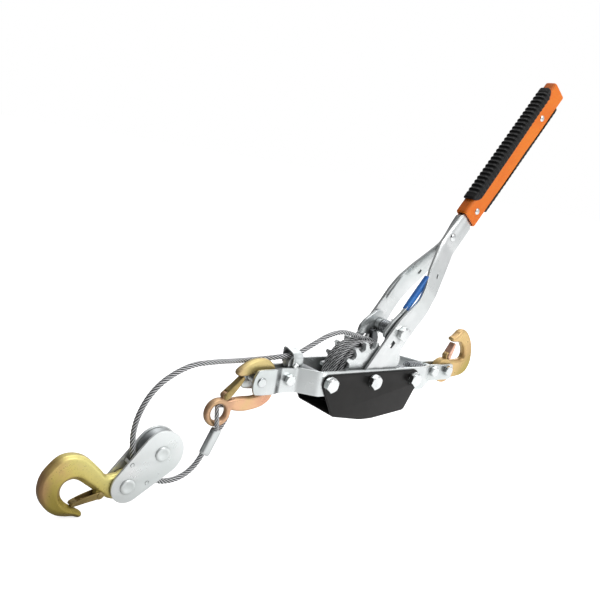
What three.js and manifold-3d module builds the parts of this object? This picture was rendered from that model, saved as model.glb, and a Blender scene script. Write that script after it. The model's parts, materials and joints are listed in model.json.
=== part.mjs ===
// Come along winch (hand ratchet cable puller) as an assembly of separate pieces.
// Millimetres, +Z up, +X from the rope end towards the rear hook, handle between.
// The origin is the centre of the gear guard's flat bottom; the drum axle lies
// AXLE_Z above it and runs along Y. "Near" is the -Y side, "far" the +Y side.
// Pieces are drawn about the axle: a place is [x, z] seen from the side.
import * as THREE from "three";
import { mergeVertices } from "three/addons/utils/BufferGeometryUtils.js";
import Module from "manifold-3d";

const wasm = await Module();
wasm.setup();

// ---------------------------------------------------------- shared dimensions
const AXLE_Z = 52; // drum axle above the guard's flat bottom
const GAP = 0.3; // clearance between pieces that rest on each other

// frame straps, mirrored about the XZ plane
const STRAP_T = 3.8;
const STRAP_Y = 29.3; // mid plane beside the drum
const EAR_Y = 12; // mid plane of the front ears
const NECK_Y = 8.5; // mid plane of the narrow parts, front and rear
const STRAP_IN = STRAP_Y - STRAP_T / 2;
const EAR_OUT = EAR_Y + STRAP_T / 2;
const NECK_IN = NECK_Y - STRAP_T / 2;
const NECK_OUT = NECK_Y + STRAP_T / 2;
const STRAP_TOP = 14; // upper edge above the axle
const STRAP_LOW = 16.8; // lower edge below the axle

// bolt and pin places
const BOLT_PITCH = 74.8; // drum axle to the front and rear through bolts
const FRONT_BOLT = [-BOLT_PITCH, 0];
const AXLE = [0, 0];
const REAR_BOLT = [BOLT_PITCH, 0];
const EAR_PIN = [-162, -1];
const GUIDE_BOLT = [-119.7, 0];
const INNER_TAIL = [142.5, 0];
const OUTER_TAIL = [172.6, 0]; // carries the rear hook

// fasteners: radii of shank and clearance bore, hexagon circumradius, sides of the round
const M10 = { shank: 5, hex: 17 / Math.sqrt(3), bore: 5.45, sides: 12 };
const M8 = { shank: 4, hex: 13 / Math.sqrt(3), bore: 4.4, sides: 16 };
const PIN_R = 6; // front hook pin and pulley block pins
const PIN_BORE = 6.4;

// ------------------------------------------------------------ solid modelling
function solid(shape) {
  if (!shape.isBufferGeometry) return shape;
  const bare = shape.clone();
  bare.deleteAttribute("normal");
  bare.deleteAttribute("uv");
  const merged = mergeVertices(bare, 1e-4);
  return new wasm.Manifold(
    new wasm.Mesh({
      numProp: 3,
      vertProperties: new Float32Array(merged.attributes.position.array),
      triVerts: new Uint32Array(merged.index.array),
    }),
  );
}

function geometryOf(manifold) {
  const mesh = manifold.getMesh();
  const stride = mesh.numProp;
  const positions = new Float32Array(mesh.numVert * 3);
  for (let i = 0; i < mesh.numVert; i++)
    positions.set(mesh.vertProperties.subarray(i * stride, i * stride + 3), i * 3);
  const indexed = new THREE.BufferGeometry();
  indexed.setAttribute("position", new THREE.BufferAttribute(positions, 3));
  indexed.setIndex(new THREE.BufferAttribute(new Uint32Array(mesh.triVerts), 1));
  const flat = indexed.toNonIndexed();
  flat.computeVertexNormals();
  return flat;
}

const union = (...shapes) => shapes.map(solid).reduce((a, b) => a.add(b));
const cut = (body, ...tools) =>
  tools.reduce((rest, tool) => rest.subtract(solid(tool)), solid(body));

// ------------------------------------------------------------------- outlines
function polar([x, z], radius, degrees) {
  const angle = (degrees * Math.PI) / 180;
  return [x + radius * Math.cos(angle), z + radius * Math.sin(angle)];
}

// points of an arc from one angle to another, in degrees
function arc(centre, radius, from, to, steps) {
  const points = [];
  for (let i = 0; i <= steps; i++)
    points.push(polar(centre, radius, from + ((to - from) * i) / steps));
  return points;
}

const circle = (centre, radius, sides) => arc(centre, radius, 0, 360 - 360 / sides, sides - 1);

// polygon with rounded corners; radii is one radius, or one for each corner
function rounded(points, radii, steps = 3) {
  const out = [];
  const count = points.length;
  points.forEach((corner, i) => {
    const radius = Array.isArray(radii) ? radii[i] : radii;
    if (!radius) return out.push(corner);
    const before = points[(i + count - 1) % count];
    const after = points[(i + 1) % count];
    const u = [before[0] - corner[0], before[1] - corner[1]];
    const v = [after[0] - corner[0], after[1] - corner[1]];
    const lengthU = Math.hypot(...u);
    const lengthV = Math.hypot(...v);
    const cos = (u[0] * v[0] + u[1] * v[1]) / lengthU / lengthV;
    const half = Math.acos(Math.max(-1, Math.min(1, cos))) / 2;
    const reach = Math.min(radius / Math.tan(half), lengthU * 0.49, lengthV * 0.49);
    const start = corner.map((c, k) => c + (u[k] / lengthU) * reach);
    const end = corner.map((c, k) => c + (v[k] / lengthV) * reach);
    // quadratic curve pulled towards the corner
    for (let step = 0; step <= steps; step++) {
      const t = step / steps;
      out.push(
        corner.map((c, k) => (1 - t) * (1 - t) * start[k] + 2 * t * (1 - t) * c + t * t * end[k]),
      );
    }
  });
  return out;
}

function normal(a, b) {
  const length = Math.hypot(b[0] - a[0], b[1] - a[1]);
  return [-(b[1] - a[1]) / length, (b[0] - a[0]) / length];
}

// both sides of a bent strip given its mid line, with mitred bends
function strip(line, thickness) {
  const last = line.length - 1;
  const side = (sign) =>
    line.map((point, i) => {
      const before = i > 0 ? normal(line[i - 1], point) : normal(point, line[1]);
      const after = i < last ? normal(point, line[i + 1]) : before;
      const sum = [before[0] + after[0], before[1] + after[1]];
      const mitre = 2 / (sum[0] * sum[0] + sum[1] * sum[1]);
      return point.map((c, k) => c + (sign * sum[k] * mitre * thickness) / 2);
    });
  return [...side(1), ...side(-1).reverse()];
}

// two circles joined by their outer tangents
function teardrop(a, radiusA, b, radiusB, steps) {
  const across = [b[0] - a[0], b[1] - a[1]];
  const direction = (Math.atan2(across[1], across[0]) * 180) / Math.PI;
  const spread = (Math.acos((radiusA - radiusB) / Math.hypot(...across)) * 180) / Math.PI;
  return [
    ...arc(a, radiusA, direction + spread, direction + 360 - spread, steps),
    ...arc(b, radiusB, direction - spread, direction + spread, Math.round(steps / 2)),
  ];
}

// ---------------------------------------------------------------- basic shapes
const vectors = (points) => points.map(([a, b]) => new THREE.Vector2(a, b));

function extrude(points, options, holes = []) {
  const shape = new THREE.Shape(vectors(points));
  for (const hole of holes) shape.holes.push(new THREE.Path(vectors(hole)));
  return new THREE.ExtrudeGeometry(shape, { bevelEnabled: false, curveSegments: 1, ...options });
}

// flat plate: outline in XZ, thickness from y0 to y1
const plate = (points, y0, y1, holes) =>
  extrude(points, { depth: y1 - y0 }, holes).rotateX(Math.PI / 2).translate(0, y1, 0);

// outline in XY, from z0 to z1
const slab = (points, z0, z1) => extrude(points, { depth: z1 - z0 }).translate(0, 0, z0);

// section in YZ, run along X from x0 to x1
const YZX = new THREE.Matrix4().makeBasis(
  new THREE.Vector3(0, 1, 0),
  new THREE.Vector3(0, 0, 1),
  new THREE.Vector3(1, 0, 0),
);
const bar = (points, x0, x1) =>
  extrude(points, { depth: x1 - x0 }).applyMatrix4(YZX).translate(x0, 0, 0);

function box(x0, x1, y0, y1, z0, z1) {
  const block = new THREE.BoxGeometry(x1 - x0, y1 - y0, z1 - z0);
  return block.translate((x0 + x1) / 2, (y0 + y1) / 2, (z0 + z1) / 2);
}

// cylinder along Y
const rod = ([x, z], radius, y0, y1, sides = 12) =>
  new THREE.CylinderGeometry(radius, radius, y1 - y0, sides, 1).translate(x, (y0 + y1) / 2, z);

// body turned about the Y axis through a place; profile is [radius, y]
const turned = ([x, z], profile, sides = 16) =>
  new THREE.LatheGeometry(vectors(profile), sides).translate(x, 0, z);

// tube along Y, centred on y = 0
const sleeve = (at, inner, outer, half, sides = 12) =>
  turned(at, [[inner, -half], [outer, -half], [outer, half], [inner, half], [inner, -half]], sides);

// round wire along a curve through [x, y, z] points
function wire(points, radius, steps, sides) {
  const curve = new THREE.CatmullRomCurve3(
    points.map((p) => new THREE.Vector3(...p)),
    false,
    "centripetal",
  );
  return extrude(circle([0, 0], radius, sides), { steps, extrudePath: curve });
}

// coil spring about Y, from y = -half to y = half
function coil([x, z], radius, wireR, half, turns) {
  const points = [];
  const steps = turns * 8;
  for (let i = 0; i <= steps; i++) {
    const angle = (2 * Math.PI * turns * i) / steps;
    const y = -half + (2 * half * i) / steps;
    points.push([x + radius * Math.cos(angle), y, z + radius * Math.sin(angle)]);
  }
  return wire(points, wireR, steps, 4);
}

// flat bar bent in plan along line [x, y] and cut to a side outline; sign picks the side
function bentPlate(line, thickness, halfHeight, outline, holes, sign) {
  const plan = strip(line.map(([x, y]) => [x, sign * y]), thickness);
  const bent = slab(plan, -halfHeight, halfHeight);
  return solid(bent).intersect(solid(plate(outline, -45, 45, holes)));
}

// ------------------------------------------------------------ fastener shapes
// head, shank, nut and bore are [y0, y1]
const hexBolt = (at, size, head, shank) =>
  union(rod(at, size.hex, ...head, 6), rod(at, size.shank, ...shank, size.sides));
const hexNut = (at, size, nut, bore) =>
  cut(rod(at, size.hex, ...nut, 6), rod(at, size.bore, ...bore, size.sides));

// pin with a turned head at each end; head is the far one, [radius, y] from inside out
function domedPin(at, { shankR, shankHalf, head, sides = 12 }) {
  const nearHead = head.map(([radius, y]) => [radius, -y]).reverse();
  return union(
    turned(at, nearHead, sides),
    rod(at, shankR, -shankHalf, shankHalf),
    turned(at, head, sides),
  );
}

// pin with a flat round head at each end, from headIn to headOut along Y
const flatPin = (at, { shankR, shankHalf, headR, headIn, headOut, sides = 12 }) =>
  union(
    rod(at, shankR, -shankHalf, shankHalf, sides),
    rod(at, headR, -headOut, -headIn),
    rod(at, headR, headIn, headOut),
  );

// ----------------------------------------------------------------- assembling
const LOOKS = {
  zinc: { color: 0xc9ced2, roughness: 0.32, metalness: 0.95 },
  gold_zinc: { color: 0xc9b062, roughness: 0.34, metalness: 0.95 },
  black_paint: { color: 0x1d1d1e, roughness: 0.45, metalness: 0.1 },
  rope: { color: 0xa9adb0, roughness: 0.4, metalness: 0.9 },
  orange_plastic: { color: 0xe8842a, roughness: 0.42, metalness: 0 },
  black_rubber: { color: 0x1b1b1c, roughness: 0.75, metalness: 0 },
  blue_vinyl: { color: 0x2f6fc0, roughness: 0.4, metalness: 0 },
  spring_steel: { color: 0x9ea3a7, roughness: 0.35, metalness: 0.95 },
};
const HANDLE_ANGLE = (55.456 * Math.PI) / 180; // above the +X axis

const object = new THREE.Group();
object.position.z = AXLE_Z;
const handle = new THREE.Group();
handle.rotation.y = -HANDLE_ANGLE;
object.add(handle);

function part(name, shape, look, parent = object) {
  const mesh = new THREE.Mesh(
    shape.isBufferGeometry ? shape : geometryOf(shape),
    new THREE.MeshStandardMaterial(LOOKS[look]),
  );
  mesh.name = name;
  parent.add(mesh);
}
const handlePart = (name, shape, look) => part(name, shape, look, handle);

const SIDES = [["near", -1], ["far", 1]];

// --------------------------------------------------------------- frame straps
// Mid line in plan, [x, y]: ear, neck, flare, body, flare, tail.
const strapLine = [
  [-176, EAR_Y], [-142.5, EAR_Y], [-131, NECK_Y], [-108, NECK_Y],
  [-86.5, STRAP_Y], [101, STRAP_Y], [134, NECK_Y], [190, NECK_Y],
];
const strapSide = [
  ...arc([-156.6, -1.9], 14.9, 90, 270, 10),
  [60, -STRAP_LOW], [101, -17.6], [136, -18.6], [140, -14.5],
  ...arc([180, -9], 5.5, 270, 360, 3),
  ...arc([181, 3.5], 4.5, 0, 90, 3),
  [137, 8.5], [101, STRAP_TOP], [-130, STRAP_TOP],
];
const throughHoles = [FRONT_BOLT, AXLE, REAR_BOLT].map((at) => circle(at, M10.bore, 12));
const strapHoles = [
  ...throughHoles,
  circle(GUIDE_BOLT, M8.bore, 12),
  circle(EAR_PIN, PIN_BORE, 12),
  circle(INNER_TAIL, M8.bore, 12),
  circle(OUTER_TAIL, M8.bore, 12),
];
for (const [side, sign] of SIDES) {
  const strap = bentPlate(strapLine, STRAP_T, 25, strapSide, strapHoles, sign);
  part(`${side}_frame_strap`, strap, "zinc");
}

// ----------------------------------------------------------------- gear guard
// Trough of two side walls and a bottom panel, open at both ends.
const GUARD_IN = 31.5;
const GUARD_OUT = 33.5;
const GUARD_T = GUARD_OUT - GUARD_IN;
const guardSide = [
  ...arc(FRONT_BOLT, 10.6, 172, 92, 4),
  ...arc(REAR_BOLT, 10.6, 88, 8, 4),
  [84, -6], [64, -44.4], [10, -AXLE_Z], [-10, -AXLE_Z], [-61.5, -44.4], [-85, -6],
];
const guardInside = [
  [-150, 60], [150, 60], [150, -29.2], [64, -42.3],
  [10.2, GUARD_T - AXLE_Z], [-10.2, GUARD_T - AXLE_Z], [-61.5, -42.3], [-150, -29.2],
];
part(
  "gear_guard",
  cut(plate(guardSide, -GUARD_OUT, GUARD_OUT, throughHoles), plate(guardInside, -GUARD_IN, GUARD_IN)),
  "black_paint",
);

// -------------------------------------------------------------- through bolts
// Head and washer on the near side, nut and washer on the far side.
const WASHER_R = 9.2;
const WASHER_IN = GUARD_OUT + GAP;
const WASHER_OUT = 35.4;
const HEX_IN = 35.2; // heads and nuts bite slightly into their washers
for (const [bolt, nut, at] of [
  ["front_through_bolt", "front_bolt_nut", FRONT_BOLT],
  ["drum_axle_bolt", "drum_axle_nut", AXLE],
  ["rear_pawl_bolt", "rear_bolt_nut", REAR_BOLT],
]) {
  part(
    bolt,
    union(
      hexBolt(at, M10, [-42, -HEX_IN], [-36, 45]),
      rod(at, WASHER_R, -WASHER_OUT, -WASHER_IN, 14),
    ),
    "zinc",
  );
  part(
    nut,
    cut(
      union(rod(at, M10.hex, HEX_IN, 43, 6), rod(at, WASHER_R, WASHER_IN, WASHER_OUT, 14)),
      rod(at, M10.bore, 30, 50),
    ),
    "zinc",
  );
}
part("front_spacer_sleeve", sleeve(FRONT_BOLT, M10.bore, 8, STRAP_IN - GAP), "zinc");

// ----------------------------------------------------------------- rope guide
// A hoop standing on the necks, on a foot held by the guide bolt.
const ROLLER = [-112.6, 17];
const ROLLER_PIN_R = 2.5;
const ROLLER_BORE = ROLLER_PIN_R + GAP;
const HOOP_BASE = 14.4;
const HOOP_FLOOR = 16.4;
const HOOP_X = -102; // rear face
const WEB_X = -104.4; // front face of the upright web
const FOOT_HALF = NECK_IN - GAP;
// sections in YZ, [y, z]
const hoopWall = rounded(
  [[-NECK_OUT, HOOP_BASE], [NECK_OUT, HOOP_BASE], [NECK_OUT, 36], [-NECK_OUT, 32.4]],
  [0, 0, 5, 5],
);
const hoopHole = rounded(
  [
    [-6.4, 12], [6.4, 12], [6.4, HOOP_FLOOR], [8.2, HOOP_FLOOR],
    [8.2, 34.4], [-8.2, 31.2], [-8.2, HOOP_FLOOR], [-6.4, HOOP_FLOOR],
  ],
  [0, 0, 0, 0, 3, 3, 0, 0],
);
part(
  "cable_guide_hoop",
  cut(
    union(
      cut(bar(hoopWall, -118, HOOP_X), bar(hoopHole, -119, -101)),
      box(WEB_X, HOOP_X, -FOOT_HALF, FOOT_HALF, -7, HOOP_FLOOR),
      box(WEB_X, HOOP_X, -8.5, 8.5, HOOP_BASE, HOOP_FLOOR),
      box(-126, HOOP_X, -FOOT_HALF, FOOT_HALF, -7, 8.2),
    ),
    rod(GUIDE_BOLT, M8.bore, -15, 15, 16),
    rod(ROLLER, ROLLER_BORE, -15, 15),
  ),
  "zinc",
);
part(
  "guide_roller_pin",
  flatPin(ROLLER, {
    shankR: ROLLER_PIN_R,
    shankHalf: 12,
    headR: 4,
    headIn: NECK_OUT + GAP,
    headOut: 12.1,
  }),
  "zinc",
);
const rollerProfile = [
  [ROLLER_BORE, -6], [8, -6], [8, -4.6], [5.6, -2.4], [5.6, 2.4],
  [8, 4.6], [8, 6], [ROLLER_BORE, 6], [ROLLER_BORE, -6],
];
part("guide_roller", turned(ROLLER, rollerProfile), "zinc");

// ------------------------------------------------- fasteners of necks and ears
const NECK_FACE = NECK_OUT + GAP; // where heads and nuts sit
part(
  "guide_bolt",
  union(
    hexBolt(GUIDE_BOLT, M8, [-16.2, -NECK_FACE], [-11, 17.5]),
    rod(GUIDE_BOLT, M8.hex, NECK_FACE, 16.6, 6),
  ),
  "zinc",
);
const EAR_FACE = EAR_OUT + GAP;
part(
  "front_hook_pin",
  domedPin(EAR_PIN, {
    shankR: PIN_R,
    shankHalf: 14.5,
    head: [[0, EAR_FACE], [8.6, EAR_FACE], [8, 15.4], [5, 16.6], [0, 17]],
    sides: 14,
  }),
  "zinc",
);
for (const [name, at] of [["inner_tail", INNER_TAIL], ["hook_tail", OUTER_TAIL]]) {
  part(`${name}_bolt`, hexBolt(at, M8, [-16.6, -NECK_FACE], [-11, 19.5]), "zinc");
  part(`${name}_nut`, hexNut(at, M8, [NECK_FACE, 17.2], [10, 18]), "zinc");
}
part("tail_spacer_sleeve", sleeve(INNER_TAIL, M8.bore, 6.5, NECK_IN - GAP, 16), "zinc");

// ----------------------------------------------------------------------- drum
const TEETH = 16;
const TOOTH_PITCH = 360 / TEETH; // degrees
const TIP_R = 47.5;
const GULLET_R = 5.2;
const GULLET_CENTRE_R = 43;
const WHEEL_IN = 15.5;
const WHEEL_OUT = 21.5;

const wheelOutline = [];
for (let k = 0; k < TEETH; k++) {
  const gullet = TOOTH_PITCH * k;
  const tip = gullet - TOOTH_PITCH / 2;
  wheelOutline.push(
    ...arc(AXLE, TIP_R, tip - 1.6, tip + 3.4, 1),
    ...arc(polar(AXLE, GULLET_CENTRE_R, gullet), GULLET_R, gullet - 108, gullet - 252, 3),
  );
}
for (const [name, y0, y1] of [
  ["near_ratchet_wheel", -WHEEL_OUT, -WHEEL_IN],
  ["far_ratchet_wheel", WHEEL_IN, WHEEL_OUT],
])
  part(name, plate(wheelOutline, y0, y1, [circle(AXLE, M10.bore, 12)]), "zinc");

const CORE_R = 20;
const CORE_HALF = WHEEL_IN - GAP;
part("drum_core", sleeve(AXLE, M10.bore, CORE_R, CORE_HALF, 20), "zinc");

// The wound rope is one ring with a ridge for each wrap; profile [radius, y].
const WRAPS = 5;
const WOUND_R = 42.8;
const VALLEY_R = WOUND_R - 1.6;
const WOUND_BORE = CORE_R + GAP;
const WOUND_HALF = CORE_HALF - GAP;
const END_INSET = 0.2; // outer edges set in from the ring's flat ends
const woundProfile = [[WOUND_BORE, -WOUND_HALF]];
for (let i = 0; i < WRAPS; i++) {
  const y = -WOUND_HALF + (2 * WOUND_HALF * i) / WRAPS;
  woundProfile.push([VALLEY_R, y + (i ? 0 : END_INSET)], [WOUND_R, y + 1.7], [WOUND_R, y + 4.3]);
}
woundProfile.push(
  [VALLEY_R, WOUND_HALF - END_INSET],
  [WOUND_BORE, WOUND_HALF],
  [WOUND_BORE, -WOUND_HALF],
);
part("wound_cable", turned(AXLE, woundProfile, 20), "rope");

// ---------------------------------------------------------------- handle arms
// In the handle group X runs along the handle from the axle and Z across it.
const ARM_IN = 23;
const ARM_OUT = 27;
const ARM_T = ARM_OUT - ARM_IN;
const ARM_Y = (ARM_IN + ARM_OUT) / 2; // mid plane beside the drum
const ARM_GRIP_Y = 3.2; // mid plane inside the grip
const PIVOT = [74.7, -1.2]; // drive pawl pivot
const ARM_RIVET = [231, 0];
const ARM_RIVET_R = 4;
const GRIP_X0 = 266;
const GRIP_X1 = 512;
const GRIP_RIVET_R = 3;
const GRIP_RIVETS = [
  ["lower_grip_rivet", [GRIP_X0 + 17, -5]],
  ["upper_grip_rivet", [GRIP_X0 + 192, -5]],
];
const armSide = [
  ...arc(AXLE, 18, 90, 270, 8),
  [85, -18], [116, -21], [130, -20], [147, -15.5], [200, -17], [261, -17.5],
  [264.5, -13.5], [475, -13], [475, 7], [264.5, 8], [261, 12.5], [200, 12],
  [147, 10.5], [125, 12], [100, 16], [80, 18],
];
const armHoles = [
  circle(AXLE, M10.bore, 12),
  circle(PIVOT, M10.bore, 12),
  circle(ARM_RIVET, ARM_RIVET_R + GAP, 12),
  circle([169.5, -4.8], 2.2, 10),
  ...GRIP_RIVETS.map(([, at]) => circle(at, GRIP_RIVET_R + GAP, 12)),
  [[50.2, -0.8], [59.2, -0.8], [59.2, 3.2], [50.2, 3.2]], // rectangular slot
];
// mid line in plan, [x, y]
const armLine = [[-25, ARM_Y], [125, ARM_Y], [147, 22.8], [215, ARM_GRIP_Y], [480, ARM_GRIP_Y]];
for (const [side, sign] of SIDES) {
  const arm = bentPlate(armLine, ARM_T, 40, armSide, armHoles, sign);
  handlePart(`${side}_handle_arm`, arm, "zinc");
}
const ARM_FACE = ARM_GRIP_Y + ARM_T / 2 + GAP;
handlePart(
  "arm_rivet",
  domedPin(ARM_RIVET, {
    shankR: ARM_RIVET_R,
    shankHalf: 5.6,
    head: [[0, ARM_FACE], [6.6, ARM_FACE], [4, 7.2], [0, 7.6]],
  }),
  "zinc",
);

// ----------------------------------------------------------------------- grip
// Orange shell open at its lower end, with rubber on top and below.
const GRIP_HALF = 9.3;
const RUBBER_IN = GRIP_HALF + GAP;
// rectangular section in YZ, symmetric about the XZ plane
const section = (half, z0, z1) => [[-half, z0], [half, z0], [half, z1], [-half, z1]];
handlePart(
  "grip_shell",
  cut(
    bar(rounded(section(GRIP_HALF, -19.6, 13), 4), GRIP_X0, GRIP_X1),
    bar(rounded(section(6.9, -17.2, 10.6), 2.5), GRIP_X0 - 2, GRIP_X1 - 3),
    ...GRIP_RIVETS.map(([, at]) => rod(at, GRIP_RIVET_R + GAP, -15, 15)),
  ),
  "orange_plastic",
);
handlePart(
  "grip_rubber_top",
  cut(
    bar(rounded(section(10.4, 2.5, 18), [0, 0, 5, 5]), 288, 495),
    bar(rounded(section(RUBBER_IN, 0, 13.3), [0, 0, 4, 4]), 280, 500),
  ),
  "black_rubber",
);
handlePart(
  "grip_rubber_bottom",
  bar([[-5, -22.2], [5, -22.2], [6, -19.9], [-6, -19.9]], 300, 485),
  "black_rubber",
);
for (const [name, at] of GRIP_RIVETS) {
  const rivet = domedPin(at, {
    shankR: GRIP_RIVET_R,
    shankHalf: 9.9,
    head: [[0, 9.7], [5.4, 9.7], [3.4, 11], [0, 11.4]],
  });
  handlePart(name, rivet, "zinc");
}

// ----------------------------------------------------------------- drive pawl
// Two side plates on a cross sleeve, with the lever just inside the near plate.
const HUB_R = 7.4; // cross sleeve of both pawls
const PAWL_IN = 16.2;
const PAWL_OUT = 20.8;
const LEVER_Y0 = -16;
const LEVER_Y1 = -13;
const PIVOT_FACE = ARM_OUT + GAP;
handlePart("pawl_pivot_bolt", hexBolt(PIVOT, M10, [-34.2, -PIVOT_FACE], [-28, 36.5]), "zinc");
handlePart("pawl_pivot_nut", hexNut(PIVOT, M10, [PIVOT_FACE, 35], [20, 40]), "zinc");
const drivePlate = [
  ...arc(PIVOT, 10.5, -120, 40, 7),
  [72, 12.5], [60, 18.5], [50.5, 20], [46.6, 15.2], [56, 6],
];
const leverPlate = [
  [68, 3], [82, -4], [98, 3.8], [154, 3.8], [154, 8.2], [98, 8.2], [82, 9], [70, 9],
];
handlePart(
  "drive_pawl",
  cut(
    union(
      rod(PIVOT, HUB_R, -22.4, 22.4),
      plate(drivePlate, -PAWL_OUT, -15.7), // thicker inwards, to meet the lever
      plate(drivePlate, PAWL_IN, PAWL_OUT),
      plate(leverPlate, LEVER_Y0, LEVER_Y1),
    ),
    rod(PIVOT, M10.bore, -30, 30),
  ),
  "zinc",
);
const leverGrip = rounded([[101, 1.8], [157, 1.8], [157, 10.2], [101, 10.2]], 4, 2);
const leverPocket = [[95, 3.4], [155, 3.4], [155, 8.6], [95, 8.6]];
handlePart(
  "pawl_lever_grip",
  cut(plate(leverGrip, -17.4, -11.6), plate(leverPocket, LEVER_Y0 - GAP, LEVER_Y1 + GAP)),
  "blue_vinyl",
);
handlePart("drive_pawl_spring", coil(PIVOT, 9, 0.9, 7, 4), "spring_steel");

// --------------------------------------------------------------- holding pawl
// On the rear bolt, its tips below the level of the axle.
const holdPlate = [
  ...arc(REAR_BOLT, 10, -110, 160, 9),
  [57, -9], [42.6, -23], [45.6, -28.5], [58, -22],
];
part(
  "holding_pawl",
  cut(
    union(
      rod(REAR_BOLT, HUB_R, -26.9, 26.9),
      plate(holdPlate, -PAWL_OUT, -PAWL_IN),
      plate(holdPlate, PAWL_IN, PAWL_OUT),
    ),
    rod(REAR_BOLT, M10.bore, -30, 30),
  ),
  "zinc",
);
part("holding_pawl_spring", coil(REAR_BOLT, 9.2, 1, 12, 6), "spring_steel");

// ----------------------------------------------------------------------- rope
const ROPE_R = 2.9;
// centre lines, [x, y, z]: from the drum through the guide, then round the sheave
const leadPoints = [
  [3, 0, 46.6], [-14.8, 0, 51.5], [-36.2, 0, 55.1], [-57.1, 0, 51.4], [-79.7, 0, 41],
  [-93.6, 0.5, 33.8], [-104, 1, 28.7], [-112, 1.5, 26.6], [-122, 2.7, 24.8], [-130, 4.4, 23.6],
];
const spanPoints = [
  [-136, 6.2, 22.7], [-150, 9.3, 20.6], [-172, 9.3, 19.6], [-192, 6, 20], [-212, 1.5, 21.4],
  [-233, 0, 21], [-248, 0, 19.3], [-261, 0, 15], [-273.5, 0, 8.8], [-285.5, 0, 0.4],
  [-296.5, 0, -11.6], [-304.6, 0, -26], [-309.5, 0, -41.5], [-311, 0, -56], [-309.8, 0, -69],
  [-307.6, 0, -81], [-302.4, 0, -94.2], [-290.4, 0, -104.1], [-279.6, 0, -111.2],
  [-268, 0, -115.6], [-251.5, 0, -115.4], [-238, 0, -110.5], [-227.6, 0, -102],
  [-220.4, 0, -92.5], [-216.7, 0, -85],
];
part("cable_lead", wire(leadPoints, ROPE_R, 18, 6), "rope");
part("cable_span", wire(spanPoints, ROPE_R, 46, 6), "rope");

// Pressed ferrule, made in one with the loop that passes through the hook's eye.
const FERRULE_START = [-218.1, -86.6];
const FERRULE_END = [-206.7, -59.6];
function ferruleBody() {
  const dx = FERRULE_END[0] - FERRULE_START[0];
  const dz = FERRULE_END[1] - FERRULE_START[1];
  const length = Math.hypot(dx, dz);
  const profile = [
    [0, 0], [4.3, 0], [5, 1.5], [5.2, 4],
    [5.2, length - 4], [4.9, length - 1], [4.2, length], [0, length],
  ];
  return turned([0, 0], profile)
    .rotateZ(-Math.PI / 2) // along +X
    .rotateY(-Math.atan2(dz, dx))
    .translate(FERRULE_START[0], 0, FERRULE_START[1]);
}
const loopPoints = [
  [-208, 2.2, -63], [-206.6, 4.4, -60.3], [-205.8, 8.4, -56.6], [-206.2, 9, -50],
  [-207.6, 7.2, -43.4], [-208.4, 0, -40.6], [-209, -7.2, -43.4], [-208.8, -9, -50],
  [-208.4, -8.4, -56.6], [-208.4, -4.4, -60.3], [-208.4, -2.2, -63],
];
// the rope enters the ferrule's lower end through this mouth
const mouthPoints = [[-225.1, 0, -100], [-217.7, 0, -86.6], [-214.5, 0, -79.2]];
part(
  "cable_ferrule",
  cut(
    union(ferruleBody(), wire(loopPoints, ROPE_R - 0.1, 20, 6)),
    wire(mouthPoints, ROPE_R + 0.5, 4, 8),
  ),
  "rope",
);

// ----------------------------------------------------------- hooks and latches
// Each latch turns on a small lug of its hook's neck: pivot place, lug half
// thickness and radius, and the latch's tip place and width.
const LATCH_BORE = 2;
const LATCH_WALL = 1.2;
const LATCHES = {
  cable: { pivot: [-200.5, -19.3], lugHalf: 3.6, lugR: 5, tip: [-180.4, 0.6], width: 6 },
  block: { pivot: [-342, -119], lugHalf: 5.8, lugR: 6, tip: [-369.5, -122.6], width: 6.4 },
  rear: { pivot: [179, 18.5], lugHalf: 6, lugR: 6, tip: [189.4, 36.4], width: 8 },
};

// flat hook with one eye and the lug for its latch
const hook = (outline, half, eye, { pivot, lugHalf, lugR }) =>
  cut(
    union(plate(outline, -half, half, [eye]), rod(pivot, lugR, -lugHalf, lugHalf)),
    rod(pivot, LATCH_BORE, -20, 20, 10),
  );

const FRONT_EYE = [-208.4, -38.6];
const frontHook = [
  ...arc(FRONT_EYE, 16.5, 70, 300, 12),
  [-190.5, -37.2], [-176, -38.6], [-160, -36.6], [-148, -31.8], [-139.8, -24],
  [-134.6, -12], [-133.6, 0], [-136, 10.6], [-142.2, 18], [-152, 23], [-163, 24.2],
  [-173, 22.4], [-181, 18.2], [-189.4, 11.6], [-190.6, 8.2], [-186, 4.6], [-180, 6],
  [-168.5, 9.8], [-157, 10.4], [-148.2, 5.8], [-144.8, -2.6], [-146.2, -12],
  [-152.4, -19], [-162.5, -22], [-177, -21.6], [-190, -22.2],
];
part("cable_end_hook", hook(frontHook, 4.8, circle(FRONT_EYE, 9.2, 14), LATCHES.cable), "gold_zinc");

// --------------------------------------------------------------- pulley block
const SHEAVE = [-277, -78.4];
const HOOK_PIN = [-314, -111.5];
const SHEAVE_R = 25;
const GROOVE_R = 20.6;
const SHEAVE_BORE = PIN_R + GAP;
const PLATE_IN = 6.4;
const PLATE_OUT = 9.2;
const KEEPER_R = 2;
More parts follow.
